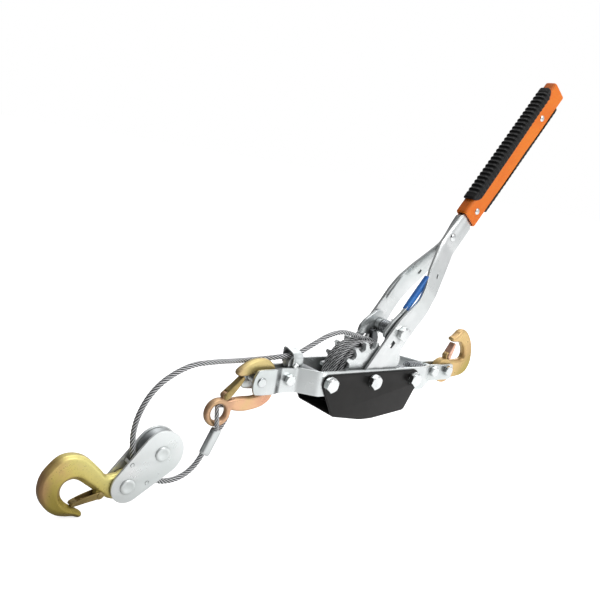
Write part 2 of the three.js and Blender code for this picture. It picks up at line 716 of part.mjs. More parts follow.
// pins that keep the rope on the sheave
const KEEPERS = [
  ["lower_keeper_pin", [-291.2, -110.2]],
  ["upper_keeper_pin", [-311.7, -87.2]],
];
const blockOutline = teardrop(SHEAVE, 26.4, HOOK_PIN, 18.8, 20);
const blockHoles = [
  circle(SHEAVE, PIN_BORE, 12),
  circle(HOOK_PIN, PIN_BORE, 12),
  ...KEEPERS.map(([, at]) => circle(at, KEEPER_R + GAP, 10)),
];
part("near_block_plate", plate(blockOutline, -PLATE_OUT, -PLATE_IN, blockHoles), "zinc");
part("far_block_plate", plate(blockOutline, PLATE_IN, PLATE_OUT, blockHoles), "zinc");
for (const [name, at] of KEEPERS) part(name, rod(at, KEEPER_R, -9.8, 9.8, 10), "zinc");
const sheaveProfile = [
  [SHEAVE_BORE, -5.9], [SHEAVE_R, -5.9], [SHEAVE_R, -4.9], [GROOVE_R, -2], [GROOVE_R, 2],
  [SHEAVE_R, 4.9], [SHEAVE_R, 5.9], [SHEAVE_BORE, 5.9], [SHEAVE_BORE, -5.9],
];
part("sheave", turned(SHEAVE, sheaveProfile, 20), "zinc");
const PLATE_FACE = PLATE_OUT + GAP;
for (const [name, at] of [["sheave_pin", SHEAVE], ["block_hook_pin", HOOK_PIN]]) {
  const pin = domedPin(at, {
    shankR: PIN_R,
    shankHalf: 9.7,
    head: [[0, PLATE_FACE], [8.7, PLATE_FACE], [8.7, 10.4], [7.8, 11.2], [0, 11.2]],
    sides: 14,
  });
  part(name, pin, "zinc");
}
const blockHook = [
  ...arc(HOOK_PIN, 15.5, -80, 118, 10),
  [-331, -97.5], [-337.5, -98.5], [-349.5, -84.8], [-364.5, -73.8], [-377, -70.6],
  [-388, -72.4], [-398, -80.6], [-405.6, -91.8], [-408.2, -106.1], [-405, -116.8],
  [-397.6, -126.8], [-387.2, -134.2], [-377, -137.2], [-367.6, -138.6], [-362.8, -140.8],
  [-359.8, -139.2], [-359.8, -136.4], [-366, -131.4], [-373.4, -127.4], [-379.6, -122],
  [-384, -115], [-384.4, -107.6], [-380.6, -101.6], [-373.4, -99.2], [-367.6, -101],
  [-357.6, -107.8], [-347.8, -114.8], [-340, -117], [-333, -124.5], [-323, -128.4],
];
part("block_hook", hook(blockHook, 5.8, circle(HOOK_PIN, PIN_BORE, 12), LATCHES.block), "gold_zinc");

// ------------------------------------------------------------------ rear hook
const rearHook = [
  ...arc([OUTER_TAIL[0], -2.6], 17.4, 60, 312, 12),
  [193, -14], [204, -13.4], [215.4, -11], [224.6, -4.8], [230.4, 8], [229.4, 23.6],
  [222.8, 38], [212.4, 50.2], [201.4, 56], [195.6, 54.6], [188.6, 48], [179.4, 46],
  [178.6, 43.4], [182.6, 39.6], [191, 38.8], [202.4, 39.4], [212.4, 28.6],
  [215.4, 16.6], [211, 13.8], [192, 13.6],
];
part("rear_hook", hook(rearHook, 6, circle(OUTER_TAIL, M8.bore + 0.1, 12), LATCHES.rear), "gold_zinc");

// -------------------------------------------------------------------- latches
// A latch is a small channel that straddles the hook's neck on a rivet. Its
// group stands on the pivot with +X towards the tip.
function addLatch(name, { pivot, lugHalf, tip, width }) {
  const dx = tip[0] - pivot[0];
  const dz = tip[1] - pivot[1];
  const length = Math.hypot(dx, dz);
  const half = lugHalf + GAP;
  const top = width * 0.5;
  const outline = [
    ...arc([0, 0], width * 0.5, 120, 240, 4),
    [length * 0.85, -width * 0.38],
    [length, -width * 0.1],
    [length, top],
    [length * 0.5, top],
  ];
  // open below and round the pivot; a web stays along the top and at the tip
  const webLow = top - 1.4;
  const channel = [
    [-width, -width], [length * 0.72, -width], [length * 0.72, webLow],
    [width * 0.9, webLow], [width * 0.9, width], [-width, width],
  ];
  const body = cut(
    plate(outline, -half - LATCH_WALL, half + LATCH_WALL),
    plate(channel, -half, half),
    rod([0, 0], LATCH_BORE, -20, 20, 10),
  );
  const group = new THREE.Group();
  group.position.set(pivot[0], 0, pivot[1]);
  group.rotation.y = -Math.atan2(dz, dx);
  object.add(group);
  part(name, body, "gold_zinc", group);
}

function latchRivet({ pivot, lugHalf }) {
  const half = lugHalf + GAP;
  return flatPin(pivot, {
    shankR: LATCH_BORE - GAP,
    shankHalf: half + 2.4,
    headR: 3.4,
    headIn: half + LATCH_WALL + GAP,
    headOut: half + 2.8,
    sides: 10,
  });
}

addLatch("cable_hook_latch", LATCHES.cable);
addLatch("block_hook_latch", LATCHES.block);
addLatch("rear_hook_latch", LATCHES.rear);
for (const [name, latch] of Object.entries(LATCHES))
  part(`${name}_latch_rivet`, latchRivet(latch), "gold_zinc");

export default object;
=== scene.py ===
"""Hand cable puller: a ratchet drum between two frame straps, a handle, three hooks and wire rope.

Shapes are in millimetres about the drum axle, which runs along y at AXLE_Z above the origin.
The front hook is toward -x, the rear hook toward +x, "near" is -y and "far" is +y. Handle
pieces have x along the handle and are turned about the axle afterwards. Meshes are
(vertices, faces) pairs until `piece` makes them objects, in metres.
"""
import json
import math
from functools import reduce
from itertools import product
import bpy
import bmesh
import numpy as np
from mathutils import Vector, Matrix


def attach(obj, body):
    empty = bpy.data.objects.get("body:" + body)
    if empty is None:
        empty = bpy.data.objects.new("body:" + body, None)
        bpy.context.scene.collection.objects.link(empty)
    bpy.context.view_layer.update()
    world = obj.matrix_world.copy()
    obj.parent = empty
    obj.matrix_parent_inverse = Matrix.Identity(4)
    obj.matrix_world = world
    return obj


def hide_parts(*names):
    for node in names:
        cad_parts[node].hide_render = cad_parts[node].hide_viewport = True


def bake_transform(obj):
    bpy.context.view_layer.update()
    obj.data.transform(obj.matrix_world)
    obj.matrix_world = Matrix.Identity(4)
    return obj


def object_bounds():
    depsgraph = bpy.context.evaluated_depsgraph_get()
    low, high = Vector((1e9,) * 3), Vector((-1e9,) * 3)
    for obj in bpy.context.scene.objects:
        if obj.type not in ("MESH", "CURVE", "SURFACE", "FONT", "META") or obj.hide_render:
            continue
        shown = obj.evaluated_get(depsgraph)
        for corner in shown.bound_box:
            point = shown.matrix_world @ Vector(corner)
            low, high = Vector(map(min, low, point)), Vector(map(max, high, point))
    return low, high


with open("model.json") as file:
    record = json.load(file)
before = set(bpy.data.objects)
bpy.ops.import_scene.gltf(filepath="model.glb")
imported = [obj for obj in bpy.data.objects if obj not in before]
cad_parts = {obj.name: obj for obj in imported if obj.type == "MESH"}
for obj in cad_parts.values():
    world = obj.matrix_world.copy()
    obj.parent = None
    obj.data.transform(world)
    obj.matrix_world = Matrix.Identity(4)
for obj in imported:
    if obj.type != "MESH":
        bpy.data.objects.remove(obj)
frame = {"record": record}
START_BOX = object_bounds()
TAU = math.tau

AXLE_Z = 52.0
HANDLE_ANGLE = math.radians(55.456)
SIDES = (("near", -1), ("far", 1))
BOLT_X = 74.8               # front and rear through bolts, either side of the drum axle
GUIDE_BOLT_X = -119.7
FRONT_PIN = (-162, -1)
INNER_TAIL_X = 142.5
HOOK_TAIL_X = 172.6
LARGE_HOLE = 5.4            # radii of the holes for the two bolt sizes
SMALL_HOLE = 4.4
# across flats, rod radius, pitch, sides of the rod
LARGE_BOLT = (17, 4.95, 1.5, 32)
SMALL_BOLT = (13, 3.95, 1.25, 28)


# ------------------------------------------------------------------ materials
def srgb(*channels):
    """0-255 display values to linear ones."""
    scaled_down = [c / 255.0 for c in channels]
    return tuple(c / 12.92 if c <= 0.04045 else ((c + 0.055) / 1.055) ** 2.4
                 for c in scaled_down)


def scaled(color, factor):
    return tuple(min(1, channel * factor) for channel in color)


class Graph:
    """A shader tree. Inputs take a plain value or the output socket of another node."""

    def __init__(self, tree):
        self.tree = tree
        tree.nodes.clear()

    def feed(self, node, inputs):
        for key, value in inputs.items():
            if isinstance(value, bpy.types.NodeSocket):
                self.tree.links.new(value, node.inputs[key])
            else:
                node.inputs[key].default_value = value

    def node(self, kind, inputs=None, **settings):
        node = self.tree.nodes.new("ShaderNode" + kind)
        for key, value in settings.items():
            setattr(node, key, value)
        self.feed(node, inputs or {})
        return node

    def ramp(self, factor, stops):
        """stops are (position, colour)."""
        node = self.node("ValToRGB", {0: factor})
        elements = node.color_ramp.elements
        while len(elements) < len(stops):
            elements.new(0.5)
        for element, (position, color) in zip(elements, stops):
            element.position = position
            element.color = (*color, 1)
        return node.outputs[0]

    def remap(self, value, span, to, **settings):
        return self.node("MapRange", {
            0: value, "From Min": span[0], "From Max": span[1],
            "To Min": to[0], "To Max": to[1]}, **settings).outputs[0]

    def dot(self, vector, direction):
        node = self.node("VectorMath", {0: vector, 1: direction}, operation="DOT_PRODUCT")
        return node.outputs["Value"]

    def camera_ray(self):
        return self.node("LightPath").outputs["Is Camera Ray"]


class Surface(Graph):
    """A principled material; `paint` lays colours over self.color, `bump` adds relief."""

    def __init__(self, name):
        self.material = bpy.data.materials.new(name)
        self.material.use_nodes = True
        super().__init__(self.material.node_tree)
        output = self.node("OutputMaterial")
        self.principled = self.node("BsdfPrincipled")
        self.feed(output, {0: self.principled.outputs[0]})
        self.coords = self.node("TexCoord").outputs
        self.normal = None

    def set(self, **inputs):
        self.feed(self.principled, {key.replace("_", " "): v for key, v in inputs.items()})

    def noise(self, scale, detail=3.0, roughness=0.5, distortion=0.0, stretch=None):
        source = self.coords["Object"]
        if stretch:
            source = self.node("Mapping", {0: source, "Scale": stretch}).outputs[0]
        return self.node("TexNoise", {
            "Vector": source, "Scale": scale, "Detail": detail, "Roughness": roughness,
            "Distortion": distortion}).outputs["Fac"]

    def mottle(self, to, **noise):
        """A noise spread over the range `to`."""
        return self.remap(self.noise(**noise), span=(0.3, 0.7), to=to)

    def math(self, operation, *values):
        return self.node("Math", dict(enumerate(values)), operation=operation).outputs[0]

    def mix(self, amount, under, over):
        under, over = (c if isinstance(c, bpy.types.NodeSocket) else (*c, 1)
                       for c in (under, over))
        return self.node("Mix", {0: amount, 6: under, 7: over},
                         data_type="RGBA", blend_type="MIX").outputs[2]

    def paint(self, color, where, span=None, amount=None):
        """Mixes a colour in, by `where` itself or with its span mapped to the amounts."""
        if span:
            where = self.remap(where, span, amount)
        self.color = self.mix(where, self.color, color)

    def bump(self, height, strength, distance):
        inputs = {"Strength": strength, "Distance": distance, "Height": height}
        if self.normal is not None:
            inputs["Normal"] = self.normal
        self.normal = self.node("Bump", inputs).outputs[0]
        self.set(Normal=self.normal)

    def geometry(self, output):
        return self.node("NewGeometry").outputs[output]

    def facing(self):
        return self.node("LayerWeight", {"Blend": 0.5}).outputs["Facing"]

    def occlusion(self, distance):
        node = self.node("AmbientOcclusion", {"Distance": distance}, samples=4)
        return node.outputs["AO"]

    def along(self, direction, span, to):
        """Eased step along a direction, metres."""
        return self.remap(self.dot(self.coords["Object"], direction), span, to,
                          interpolation_type="SMOOTHSTEP")


def zinc(name, base=(0.76, 0.79, 0.79), dark=(0.66, 0.69, 0.69), roughness=(0.24, 0.40),
         metallic=0.85, brushed=None, tinted=True, crevice=0.012, fold=None):
    """Plated steel. crevice is the reach of the painted shade in hollows, fold the x ends of a
    painted shade band across a bend.
    """
    look = Surface(name)
    patches = look.noise(scale=24)
    grain = look.noise(scale=900, roughness=0.6)
    look.color = look.ramp(patches, [(0.30, dark), (0.5, base), (0.70, scaled(base, 1.05))])
    if tinted:
        look.paint((0.58, 0.71, 0.66), look.noise(scale=14, detail=2),
                   span=(0.45, 0.7), amount=(0, 0.16))
    look.paint((0.40, 0.42, 0.43), grain, span=(0.55, 0.75), amount=(0, 0.10))
    # short fine scratches
    look.paint(scaled(base, 1.14),
               look.noise(scale=70, detail=4, roughness=0.62, stretch=(9, 1, 1.4)),
               span=(0.66, 0.74), amount=(0, 0.20))
    # painted shade: darker where ambient occlusion finds hollows and contacts between parts
    look.paint(scaled(base, 0.16), look.occlusion(crevice),
               span=(0.15, 0.85), amount=(0.75, 0.0))
    # painted shade: a dark band across the x span given by fold, over a bend in the sheet
    if fold:
        start, end = fold
        rise = look.along((1, 0, 0), span=(start - 0.0015, start + 0.001), to=(0.0, 0.60))
        fall = look.along((1, 0, 0), span=(end - 0.001, end + 0.0015), to=(1.0, 0.0))
        look.paint((0.12, 0.125, 0.13), look.math("MULTIPLY", rise, fall))
    look.set(Base_Color=look.color, Metallic=metallic, IOR=1.5,
             Roughness=look.mottle(roughness, scale=60, detail=5, roughness=0.6))
    look.bump(grain, strength=0.05, distance=0.0003)
    look.bump(look.noise(scale=150), strength=0.03, distance=0.0006)
    if brushed:
        look.bump(look.noise(scale=160, detail=4, roughness=0.6, stretch=brushed),
                  strength=0.06, distance=0.0004)
    return look.material


def gold(name, stops, drifts=()):
    """Yellow chromate on a forging, colours 0-255.

    drifts are (direction, from, to, amount, colour), in metres.
    """
    look = Surface(name)
    broad = look.noise(scale=19, detail=2.5, distortion=0.6)
    fine = look.noise(scale=70, detail=4, roughness=0.6, distortion=0.4)
    broad_share, fine_share = 0.7, 0.3
    blotches = look.math("ADD", look.math("MULTIPLY", broad, broad_share),
                         look.math("MULTIPLY", fine, fine_share))
    look.color = look.ramp(blotches, [(position, srgb(*color)) for position, color in stops])
    for direction, start, end, amount, color in drifts:
        look.paint(srgb(*color), look.along(direction, span=(start, end), to=(0.0, amount)))
    # painted rim shade: browner where the surface turns away from the view
    look.paint(srgb(176, 128, 98), look.facing(), span=(0.45, 0.95), amount=(0.0, 0.55))
    # painted shade: darker olive on faces turned down and away from the light
    underside_shade = look.dot(look.geometry("Normal"), (-0.45, 0.35, -0.82))
    look.paint(srgb(122, 104, 52), underside_shade, span=(0.15, 0.9), amount=(0.0, 0.55))
    specks = look.noise(scale=620, detail=2, roughness=0.6)
    look.paint(srgb(104, 86, 46), specks, span=(0.57, 0.74), amount=(0, 0.22))
    # painted highlight: lighter on sharp convex edges and bevels
    look.paint(srgb(236, 220, 160), look.geometry("Pointiness"),
               span=(0.53, 0.60), amount=(0.0, 0.30))
    # painted shade: darker in hollows found by ambient occlusion
    look.paint(srgb(66, 42, 20), look.occlusion(0.012), span=(0.1, 0.8), amount=(0.7, 0.0))
    look.set(Base_Color=look.color, Metallic=0.50, IOR=1.5,
             Roughness=look.mottle((0.24, 0.42), scale=90, detail=4, roughness=0.6))
    look.bump(look.noise(scale=240, detail=4, roughness=0.6), strength=0.14, distance=0.0006)
    look.bump(specks, strength=0.10, distance=0.0003)
    return look.material


def black_paint():
    look = Surface("black_paint")
    base = (0.0068, 0.0063, 0.0058)
    look.color = look.ramp(look.noise(scale=40), [(0.35, base), (0.65, scaled(base, 1.7))])
    dust = look.noise(scale=420, detail=4, roughness=0.7)
    look.paint((0.25, 0.25, 0.25), dust, span=(0.62, 0.8), amount=(0, 0.08))
    look.set(Base_Color=look.color, Metallic=0.0, IOR=1.36,
             Roughness=look.mottle((0.28, 0.42), scale=70, detail=4, roughness=0.6))
    look.bump(look.noise(scale=520, roughness=0.55), strength=0.10, distance=0.0004)
    look.bump(look.noise(scale=60, detail=2), strength=0.05, distance=0.001)
    return look.material


def orange_plastic():
    look = Surface("orange_plastic")
    look.color = look.ramp(look.noise(scale=22),
                           [(0.35, srgb(238, 116, 2)), (0.65, srgb(246, 130, 10))])
    # painted shade: the handle's upper face, turned away from the light, is darker
    upper_face_shade = look.dot(look.geometry("Normal"), (-0.824, 0.0, 0.567))
    look.paint(srgb(214, 98, 24), upper_face_shade, span=(0.1, 0.95), amount=(0.0, 0.35))
    scuffs = look.noise(scale=260, detail=5, roughness=0.7, stretch=(1, 1, 0.3))
    look.paint(srgb(250, 190, 130), scuffs, span=(0.62, 0.8), amount=(0, 0.14))
    look.set(Base_Color=look.color, Metallic=0.0, IOR=1.46,
             Subsurface_Weight=0.06, Subsurface_Scale=0.003,
             Roughness=look.mottle((0.36, 0.52), scale=120, detail=4, roughness=0.6))
    look.bump(look.noise(scale=900, detail=2), strength=0.12, distance=0.0003)
    look.bump(look.noise(scale=90), strength=0.05, distance=0.0008)
    return look.material


def black_rubber():
    look = Surface("black_rubber")
    look.color = look.ramp(look.noise(scale=70, detail=4, roughness=0.6),
                           [(0.35, srgb(11, 11, 12)), (0.65, srgb(22, 22, 23))])
    # painted highlight: grey on rib crests and sharp edges
    look.paint(srgb(72, 74, 78), look.geometry("Pointiness"),
               span=(0.52, 0.60), amount=(0.0, 0.45))
    look.set(Base_Color=look.color, Metallic=0.0, IOR=1.36,
             Roughness=look.mottle((0.34, 0.52), scale=300, detail=4, roughness=0.6))
    look.bump(look.noise(scale=1200, roughness=0.6), strength=0.25, distance=0.0003)
    return look.material


def blue_vinyl():
    look = Surface("blue_vinyl")
    look.color = look.ramp(look.noise(scale=50),
                           [(0.35, srgb(46, 110, 200)), (0.65, srgb(72, 146, 228))])
    look.set(Base_Color=look.color, Metallic=0.0, IOR=1.5,
             Coat_Weight=0.35, Coat_Roughness=0.15,
             Roughness=look.mottle((0.28, 0.42), scale=200))
    look.bump(look.noise(scale=260), strength=0.12, distance=0.0005)
    return look.material


def wire_rope():
    """The UV map holds the phase of the wires and the distance from the rope's axis."""
    look = Surface("wire_rope")
    phase, depth = look.node("SeparateXYZ", {0: look.coords["UV"]}).outputs[:2]
    wires = look.remap(look.math("SINE", look.math("MULTIPLY", phase, TAU)),
                       span=(-1, 1), to=(0, 1))
    look.color = look.ramp(
        look.noise(scale=45, detail=4, roughness=0.6),
        [(0.35, (0.84, 0.85, 0.86)), (0.55, (0.90, 0.91, 0.92)), (0.7, (0.94, 0.95, 0.96))])
    # painted shade: darker lines between the wires of each strand
    look.paint((0.20, 0.20, 0.205), wires, span=(0.0, 0.5), amount=(0.35, 0.0))
    # painted shade: near black deep in the grooves between strands
    look.paint((0.02, 0.02, 0.022), depth, span=(0.87, 0.975), amount=(1.0, 0.0))
    look.set(Base_Color=look.color, Metallic=0.18, IOR=1.5,
             Roughness=look.mottle((0.28, 0.44), scale=200, detail=4, roughness=0.6))
    look.bump(wires, strength=0.35, distance=0.0003)
    look.bump(look.noise(scale=800), strength=0.06, distance=0.0003)
    return look.material


# (position, colour 0-255)
YELLOW = [(0.30, (186, 162, 80)), (0.42, (226, 204, 108)), (0.52, (246, 224, 124)),
          (0.62, (240, 208, 132)), (0.78, (204, 164, 98))]
BLUSH = [(0.30, (232, 200, 132)), (0.42, (244, 202, 148)), (0.55, (246, 194, 152)),
         (0.68, (232, 172, 140)), (0.80, (190, 138, 108))]
GREENISH = [(0.30, (172, 158, 82)), (0.42, (212, 198, 108)), (0.52, (232, 216, 128)),
            (0.62, (224, 200, 128)), (0.78, (190, 158, 100))]
OLIVE = [(0.30, (132, 112, 66)), (0.45, (170, 148, 92)), (0.58, (206, 178, 116)),
         (0.72, (216, 166, 126)), (0.82, (160, 120, 88))]
PINK = [(0.30, (206, 166, 124)), (0.45, (236, 188, 152)), (0.58, (244, 194, 170)),
        (0.72, (220, 166, 140)), (0.82, (176, 132, 100))]
OLIVE_DRIFT = (160, 142, 58)

MATERIALS = {
    "zinc": ("bright_zinc", zinc("zinc_plate", brushed=(1, 1, 14))),
    # the strap zinc carries a painted shade band over its front bend
    "zinc_strap": ("bright_zinc", zinc("zinc_strap", brushed=(1, 1, 14),
                                       fold=(-0.1415, -0.1325))),
    "zinc_bright": ("bright_zinc", zinc(
        "zinc_bright", base=(0.79, 0.81, 0.81), dark=(0.66, 0.68, 0.69),
        roughness=(0.10, 0.22), metallic=1.0, crevice=0.006)),
    "zinc_arm": ("bright_zinc", zinc(
        "zinc_arm", base=(0.80, 0.82, 0.82), dark=(0.70, 0.725, 0.725),
        roughness=(0.24, 0.38), brushed=(14, 1, 1))),
    "zinc_dull": ("bright_zinc", zinc(
        "zinc_dull", base=(0.50, 0.52, 0.53), dark=(0.30, 0.32, 0.33),
        roughness=(0.28, 0.44))),
    # near-white copy of the zinc: painted reflection of the bright surroundings on the block, its
    # pins and the guide roller
    "zinc_block": ("bright_zinc", zinc(
        "zinc_block", base=(0.95, 0.985, 0.98), dark=(0.92, 0.96, 0.955),
        roughness=(0.26, 0.34), metallic=0.5, crevice=0.008)),
    # near-black copy of the zinc: painted shade for the drive pawl's shaded face
    "shade_dark": ("bright_zinc", zinc(
        "shade_dark", base=(0.12, 0.125, 0.13), dark=(0.05, 0.05, 0.055),
        roughness=(0.2, 0.34), tinted=False)),
    "spring": ("spring_steel", zinc(
        "spring_steel", base=(0.62, 0.64, 0.66), dark=(0.4, 0.42, 0.44),
        roughness=(0.18, 0.3), tinted=False, crevice=0.004)),
    "gold": ("gold_zinc", gold("gold_zinc", YELLOW, [
        ((0.62, 0.0, 0.78), -0.268, -0.242, 0.85, (255, 244, 158)),
        ((-0.62, 0.0, -0.78), 0.262, 0.296, 0.75, OLIVE_DRIFT),
        ((-1, 0, 0), 0.394, 0.409, 0.65, (220, 166, 132))])),
    "gold_front": ("gold_zinc", gold("gold_front", BLUSH, [
        ((0, 0, 1), 0.044, 0.062, 0.85, (236, 218, 146)),
        ((-1, 0, 0.2), 0.188, 0.204, 0.55, (196, 158, 128))])),
    "gold_rear": ("gold_zinc", gold("gold_rear", GREENISH, [
        ((0.9, 0, -0.4), 0.140, 0.176, 0.75, OLIVE_DRIFT),
        ((-0.8, 0, 0.6), -0.150, -0.122, 0.45, (236, 180, 146))])),
    "gold_olive": ("gold_zinc", gold("gold_olive", OLIVE)),
    "gold_pink": ("gold_zinc", gold("gold_pink", PINK)),
    "black": ("black_paint", black_paint()),
    "orange": ("orange_plastic", orange_plastic()),
    "rubber": ("black_rubber", black_rubber()),
    "blue": ("blue_vinyl", blue_vinyl()),
    "rope": ("wire_rope", wire_rope()),
}

# --------------------------------------------------------------- mesh helpers
BODY_OF = {node: body for body, nodes in frame["record"]["behaviour"]["bodies"].items()
           for node in nodes}


def piece(name, parts, material, *nodes, body=None, handle=False, sharp=35, uv=None,
          weld=True):
    """One object from meshes in mm. It rides the body of its first CAD node unless
    another is given; body "" rides none. sharp is the angle of a hard edge."""
    verts = np.concatenate([np.asarray(part[0], float) for part in parts])
    faces, offset = [], 0
    for part_verts, part_faces in parts:
        faces += [tuple(int(i) + offset for i in face) for face in part_faces]
        offset += len(part_verts)
    if handle:
        x, y, z = verts.T
        cos, sin = math.cos(HANDLE_ANGLE), math.sin(HANDLE_ANGLE)
        verts = np.stack([x * cos - z * sin, y, x * sin + z * cos], 1)
    verts = (verts + (0, 0, AXLE_Z)) * 0.001
    mesh = bpy.data.meshes.new(name)
    mesh.from_pydata(verts.tolist(), [], faces)
    if uv is not None:
        layer = mesh.uv_layers.new(name="UVMap")
        loop_verts = np.zeros(len(mesh.loops), np.int32)
        mesh.loops.foreach_get("vertex_index", loop_verts)
        layer.data.foreach_set("uv", np.asarray(uv, np.float32)[loop_verts].ravel())
    edit = bmesh.new()
    edit.from_mesh(mesh)
    if weld:
        bmesh.ops.remove_doubles(edit, verts=edit.verts, dist=1e-6)
    bmesh.ops.recalc_face_normals(edit, faces=edit.faces)
    edit.to_mesh(mesh)
    edit.free()
    mesh.polygons.foreach_set("use_smooth", np.ones(len(mesh.polygons), bool))
    mesh.set_sharp_from_angle(angle=math.radians(sharp))
    slot, look = MATERIALS[material]
    mesh.materials.append(look)
    item = bpy.data.objects.new(name, mesh)
    bpy.context.scene.collection.objects.link(item)
    body = BODY_OF[nodes[0]] if body is None else body
    if body:
        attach(item, body)
    for node in nodes:
        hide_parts(node)
    return item


def lathe(x, z, profile, sides=48, closed=False):
    """Turned about y through (x, z). profile is (radius, y), from axis to axis or closed."""
    verts, faces, rings = [], [], []
    for radius, y in profile:
        if radius < 1e-6:
            rings.append([len(verts)])
            verts.append((x, y, z))
        else:
            rings.append(range(len(verts), len(verts) + sides))
            verts += [(x + radius * math.cos(angle), y, z + radius * math.sin(angle))
                      for angle in np.linspace(0, TAU, sides, endpoint=False)]
    following = rings[1:] + rings[:1] if closed else rings[1:]
    for ring, other in zip(rings, following):
        for i in range(sides):
            j = (i + 1) % sides
            if len(ring) == 1:
                faces.append((ring[0], other[i], other[j]))
            elif len(other) == 1:
                faces.append((ring[i], other[0], ring[j]))
            else:
                faces.append((ring[i], other[i], other[j], ring[j]))
    return np.array(verts), faces


def soft(points, radius=0.4, steps=3, closed=True):
    """Rounds the corners of a profile or outline; an open one keeps its ends."""
    points = [np.array(point, float) for point in points]
    rounded = []
    for i, corner in enumerate(points):
        if not closed and i in (0, len(points) - 1):
            rounded.append(tuple(corner))
            continue
        before = points[i - 1] - corner
        after = points[(i + 1) % len(points)] - corner
        length_before, length_after = math.hypot(*before), math.hypot(*after)
        cut = min(radius, length_before * 0.45, length_after * 0.45)
        start = corner + before / length_before * cut
        end = corner + after / length_after * cut
        for k in range(steps + 1):
            t = k / steps
            rounded.append(tuple((1 - t) ** 2 * start + 2 * t * (1 - t) * corner
                                 + t * t * end))
    return rounded


def mirrored(half):
    """A lathe profile followed by its mirror image in y."""
    return half + [(radius, -y) for radius, y in reversed(half)]


def sleeve(x, z, bore, radius, y0, y1, corner, sides):
    section = [(bore, y0), (radius, y0), (radius, y1), (bore, y1)]
    return lathe(x, z, soft(section, corner), sides, closed=True)


def ring_faces(rings, sides):
    """Quads between successive rings of vertices."""
    return [(a * sides + i, a * sides + (i + 1) % sides,
             (a + 1) * sides + (i + 1) % sides, (a + 1) * sides + i)
            for a in range(rings - 1) for i in range(sides)]


def hexagon(x, z, flats, y0, y1, bore=0.0, turn=0.0):
    """Bolt head with a curved chamfer at y1, or with a bore a nut chamfered at both ends."""
    sides = 96
    slope = 0.58
    angle = np.linspace(0, TAU, sides, endpoint=False)
    rim = (flats / 2) / np.cos(angle % (math.pi / 3) - math.pi / 6)
    rim = np.minimum(rim, flats / math.sqrt(3) * 0.985)
    face = flats / 2 * 0.955
    way = 1 if y1 > y0 else -1
    # (radius, y) of each ring
    if bore:
        rings = [(bore, y0), (face, y0), (rim, y0 + way * (rim - face) * slope)]
    else:
        rings = [(0.01, y0), (rim, y0)]
    rings += [(rim, y1 - way * (rim - face) * slope),
              (rim - 0.25, y1 - way * (rim - 0.25 - face) * slope + way * -0.02),
              (face, y1)]
    if bore:
        rings += [(bore + 0.8, y1), (bore, y1 - way * 0.8)]
    else:
        rings += [(face * 0.6, y1), (0.01, y1)]
    verts = np.concatenate([
        np.stack([x + radius * np.cos(angle + turn), np.broadcast_to(y, (sides,)),
                  z + radius * np.sin(angle + turn)], 1) for radius, y in rings])
    faces = ring_faces(len(rings), sides)
    last = (len(rings) - 1) * sides
    if bore:
        for i in range(sides):
            j = (i + 1) % sides
            faces.append((last + i, last + j, j, i))
    else:
        faces += [tuple(range(sides)), tuple(range(last, last + sides))]
    return verts, faces


def bolt(x, z, size, head, shank, turn):
    """head is (y under, y top); shank is (start, end of the plain part, tip)."""
    flats, radius, pitch, sides = size
    start, y, tip = shank
    profile = [(0, start), (radius, start), (radius, y)]
    root = radius - 0.65
    while tip - y > pitch * 1.2:
        profile += [(root, y + pitch * 0.35), (root, y + pitch * 0.5),
                    (radius, y + pitch * 0.85), (radius, y + pitch)]
        y += pitch
    profile += [(radius - 0.9, tip), (0, tip)]
    return [hexagon(x, z, flats, *head, turn=turn), lathe(x, z, profile, sides)]


def plate(outline, holes, y0, y1, bevel, steps):
    """Flat plate in xz from y0 to y1 with rounded edges."""
    curve = bpy.data.curves.new("tmp", "CURVE")
    curve.dimensions = "2D"
    curve.fill_mode = "BOTH"
    for points in [outline] + list(holes):
        line = curve.splines.new("POLY")
        line.points.add(len(points) - 1)
        for target, point in zip(line.points, points):
            target.co = (point[0], point[1], 0, 1)
        line.use_cyclic_u = True
    curve.extrude = (y1 - y0) / 2 - bevel
    curve.bevel_depth = bevel
    curve.bevel_resolution = steps
    curve.offset = -bevel
    item = bpy.data.objects.new("tmp", curve)
    mesh = bpy.data.meshes.new_from_object(item)
    edit = bmesh.new()
    edit.from_mesh(mesh)
    bmesh.ops.remove_doubles(edit, verts=edit.verts, dist=1e-3)
    verts = np.array([(v.co.x, v.co.z + (y0 + y1) / 2, v.co.y) for v in edit.verts])
    faces = [tuple(v.index for v in face.verts) for face in edit.faces]
    edit.free()
    bpy.data.objects.remove(item)
    bpy.data.meshes.remove(mesh)
    bpy.data.curves.remove(curve)
    return verts, faces


def arc(x, z, radius, start, end, steps):
    """Points of an arc, angles in degrees."""
    angles = [math.radians(start + (end - start) * i / steps) for i in range(steps + 1)]
    return [(x + radius * math.cos(a), z + radius * math.sin(a)) for a in angles]


def circle(x, z, radius, sides=36):
    return arc(x, z, radius, 0, 360 - 360 / sides, sides - 1)


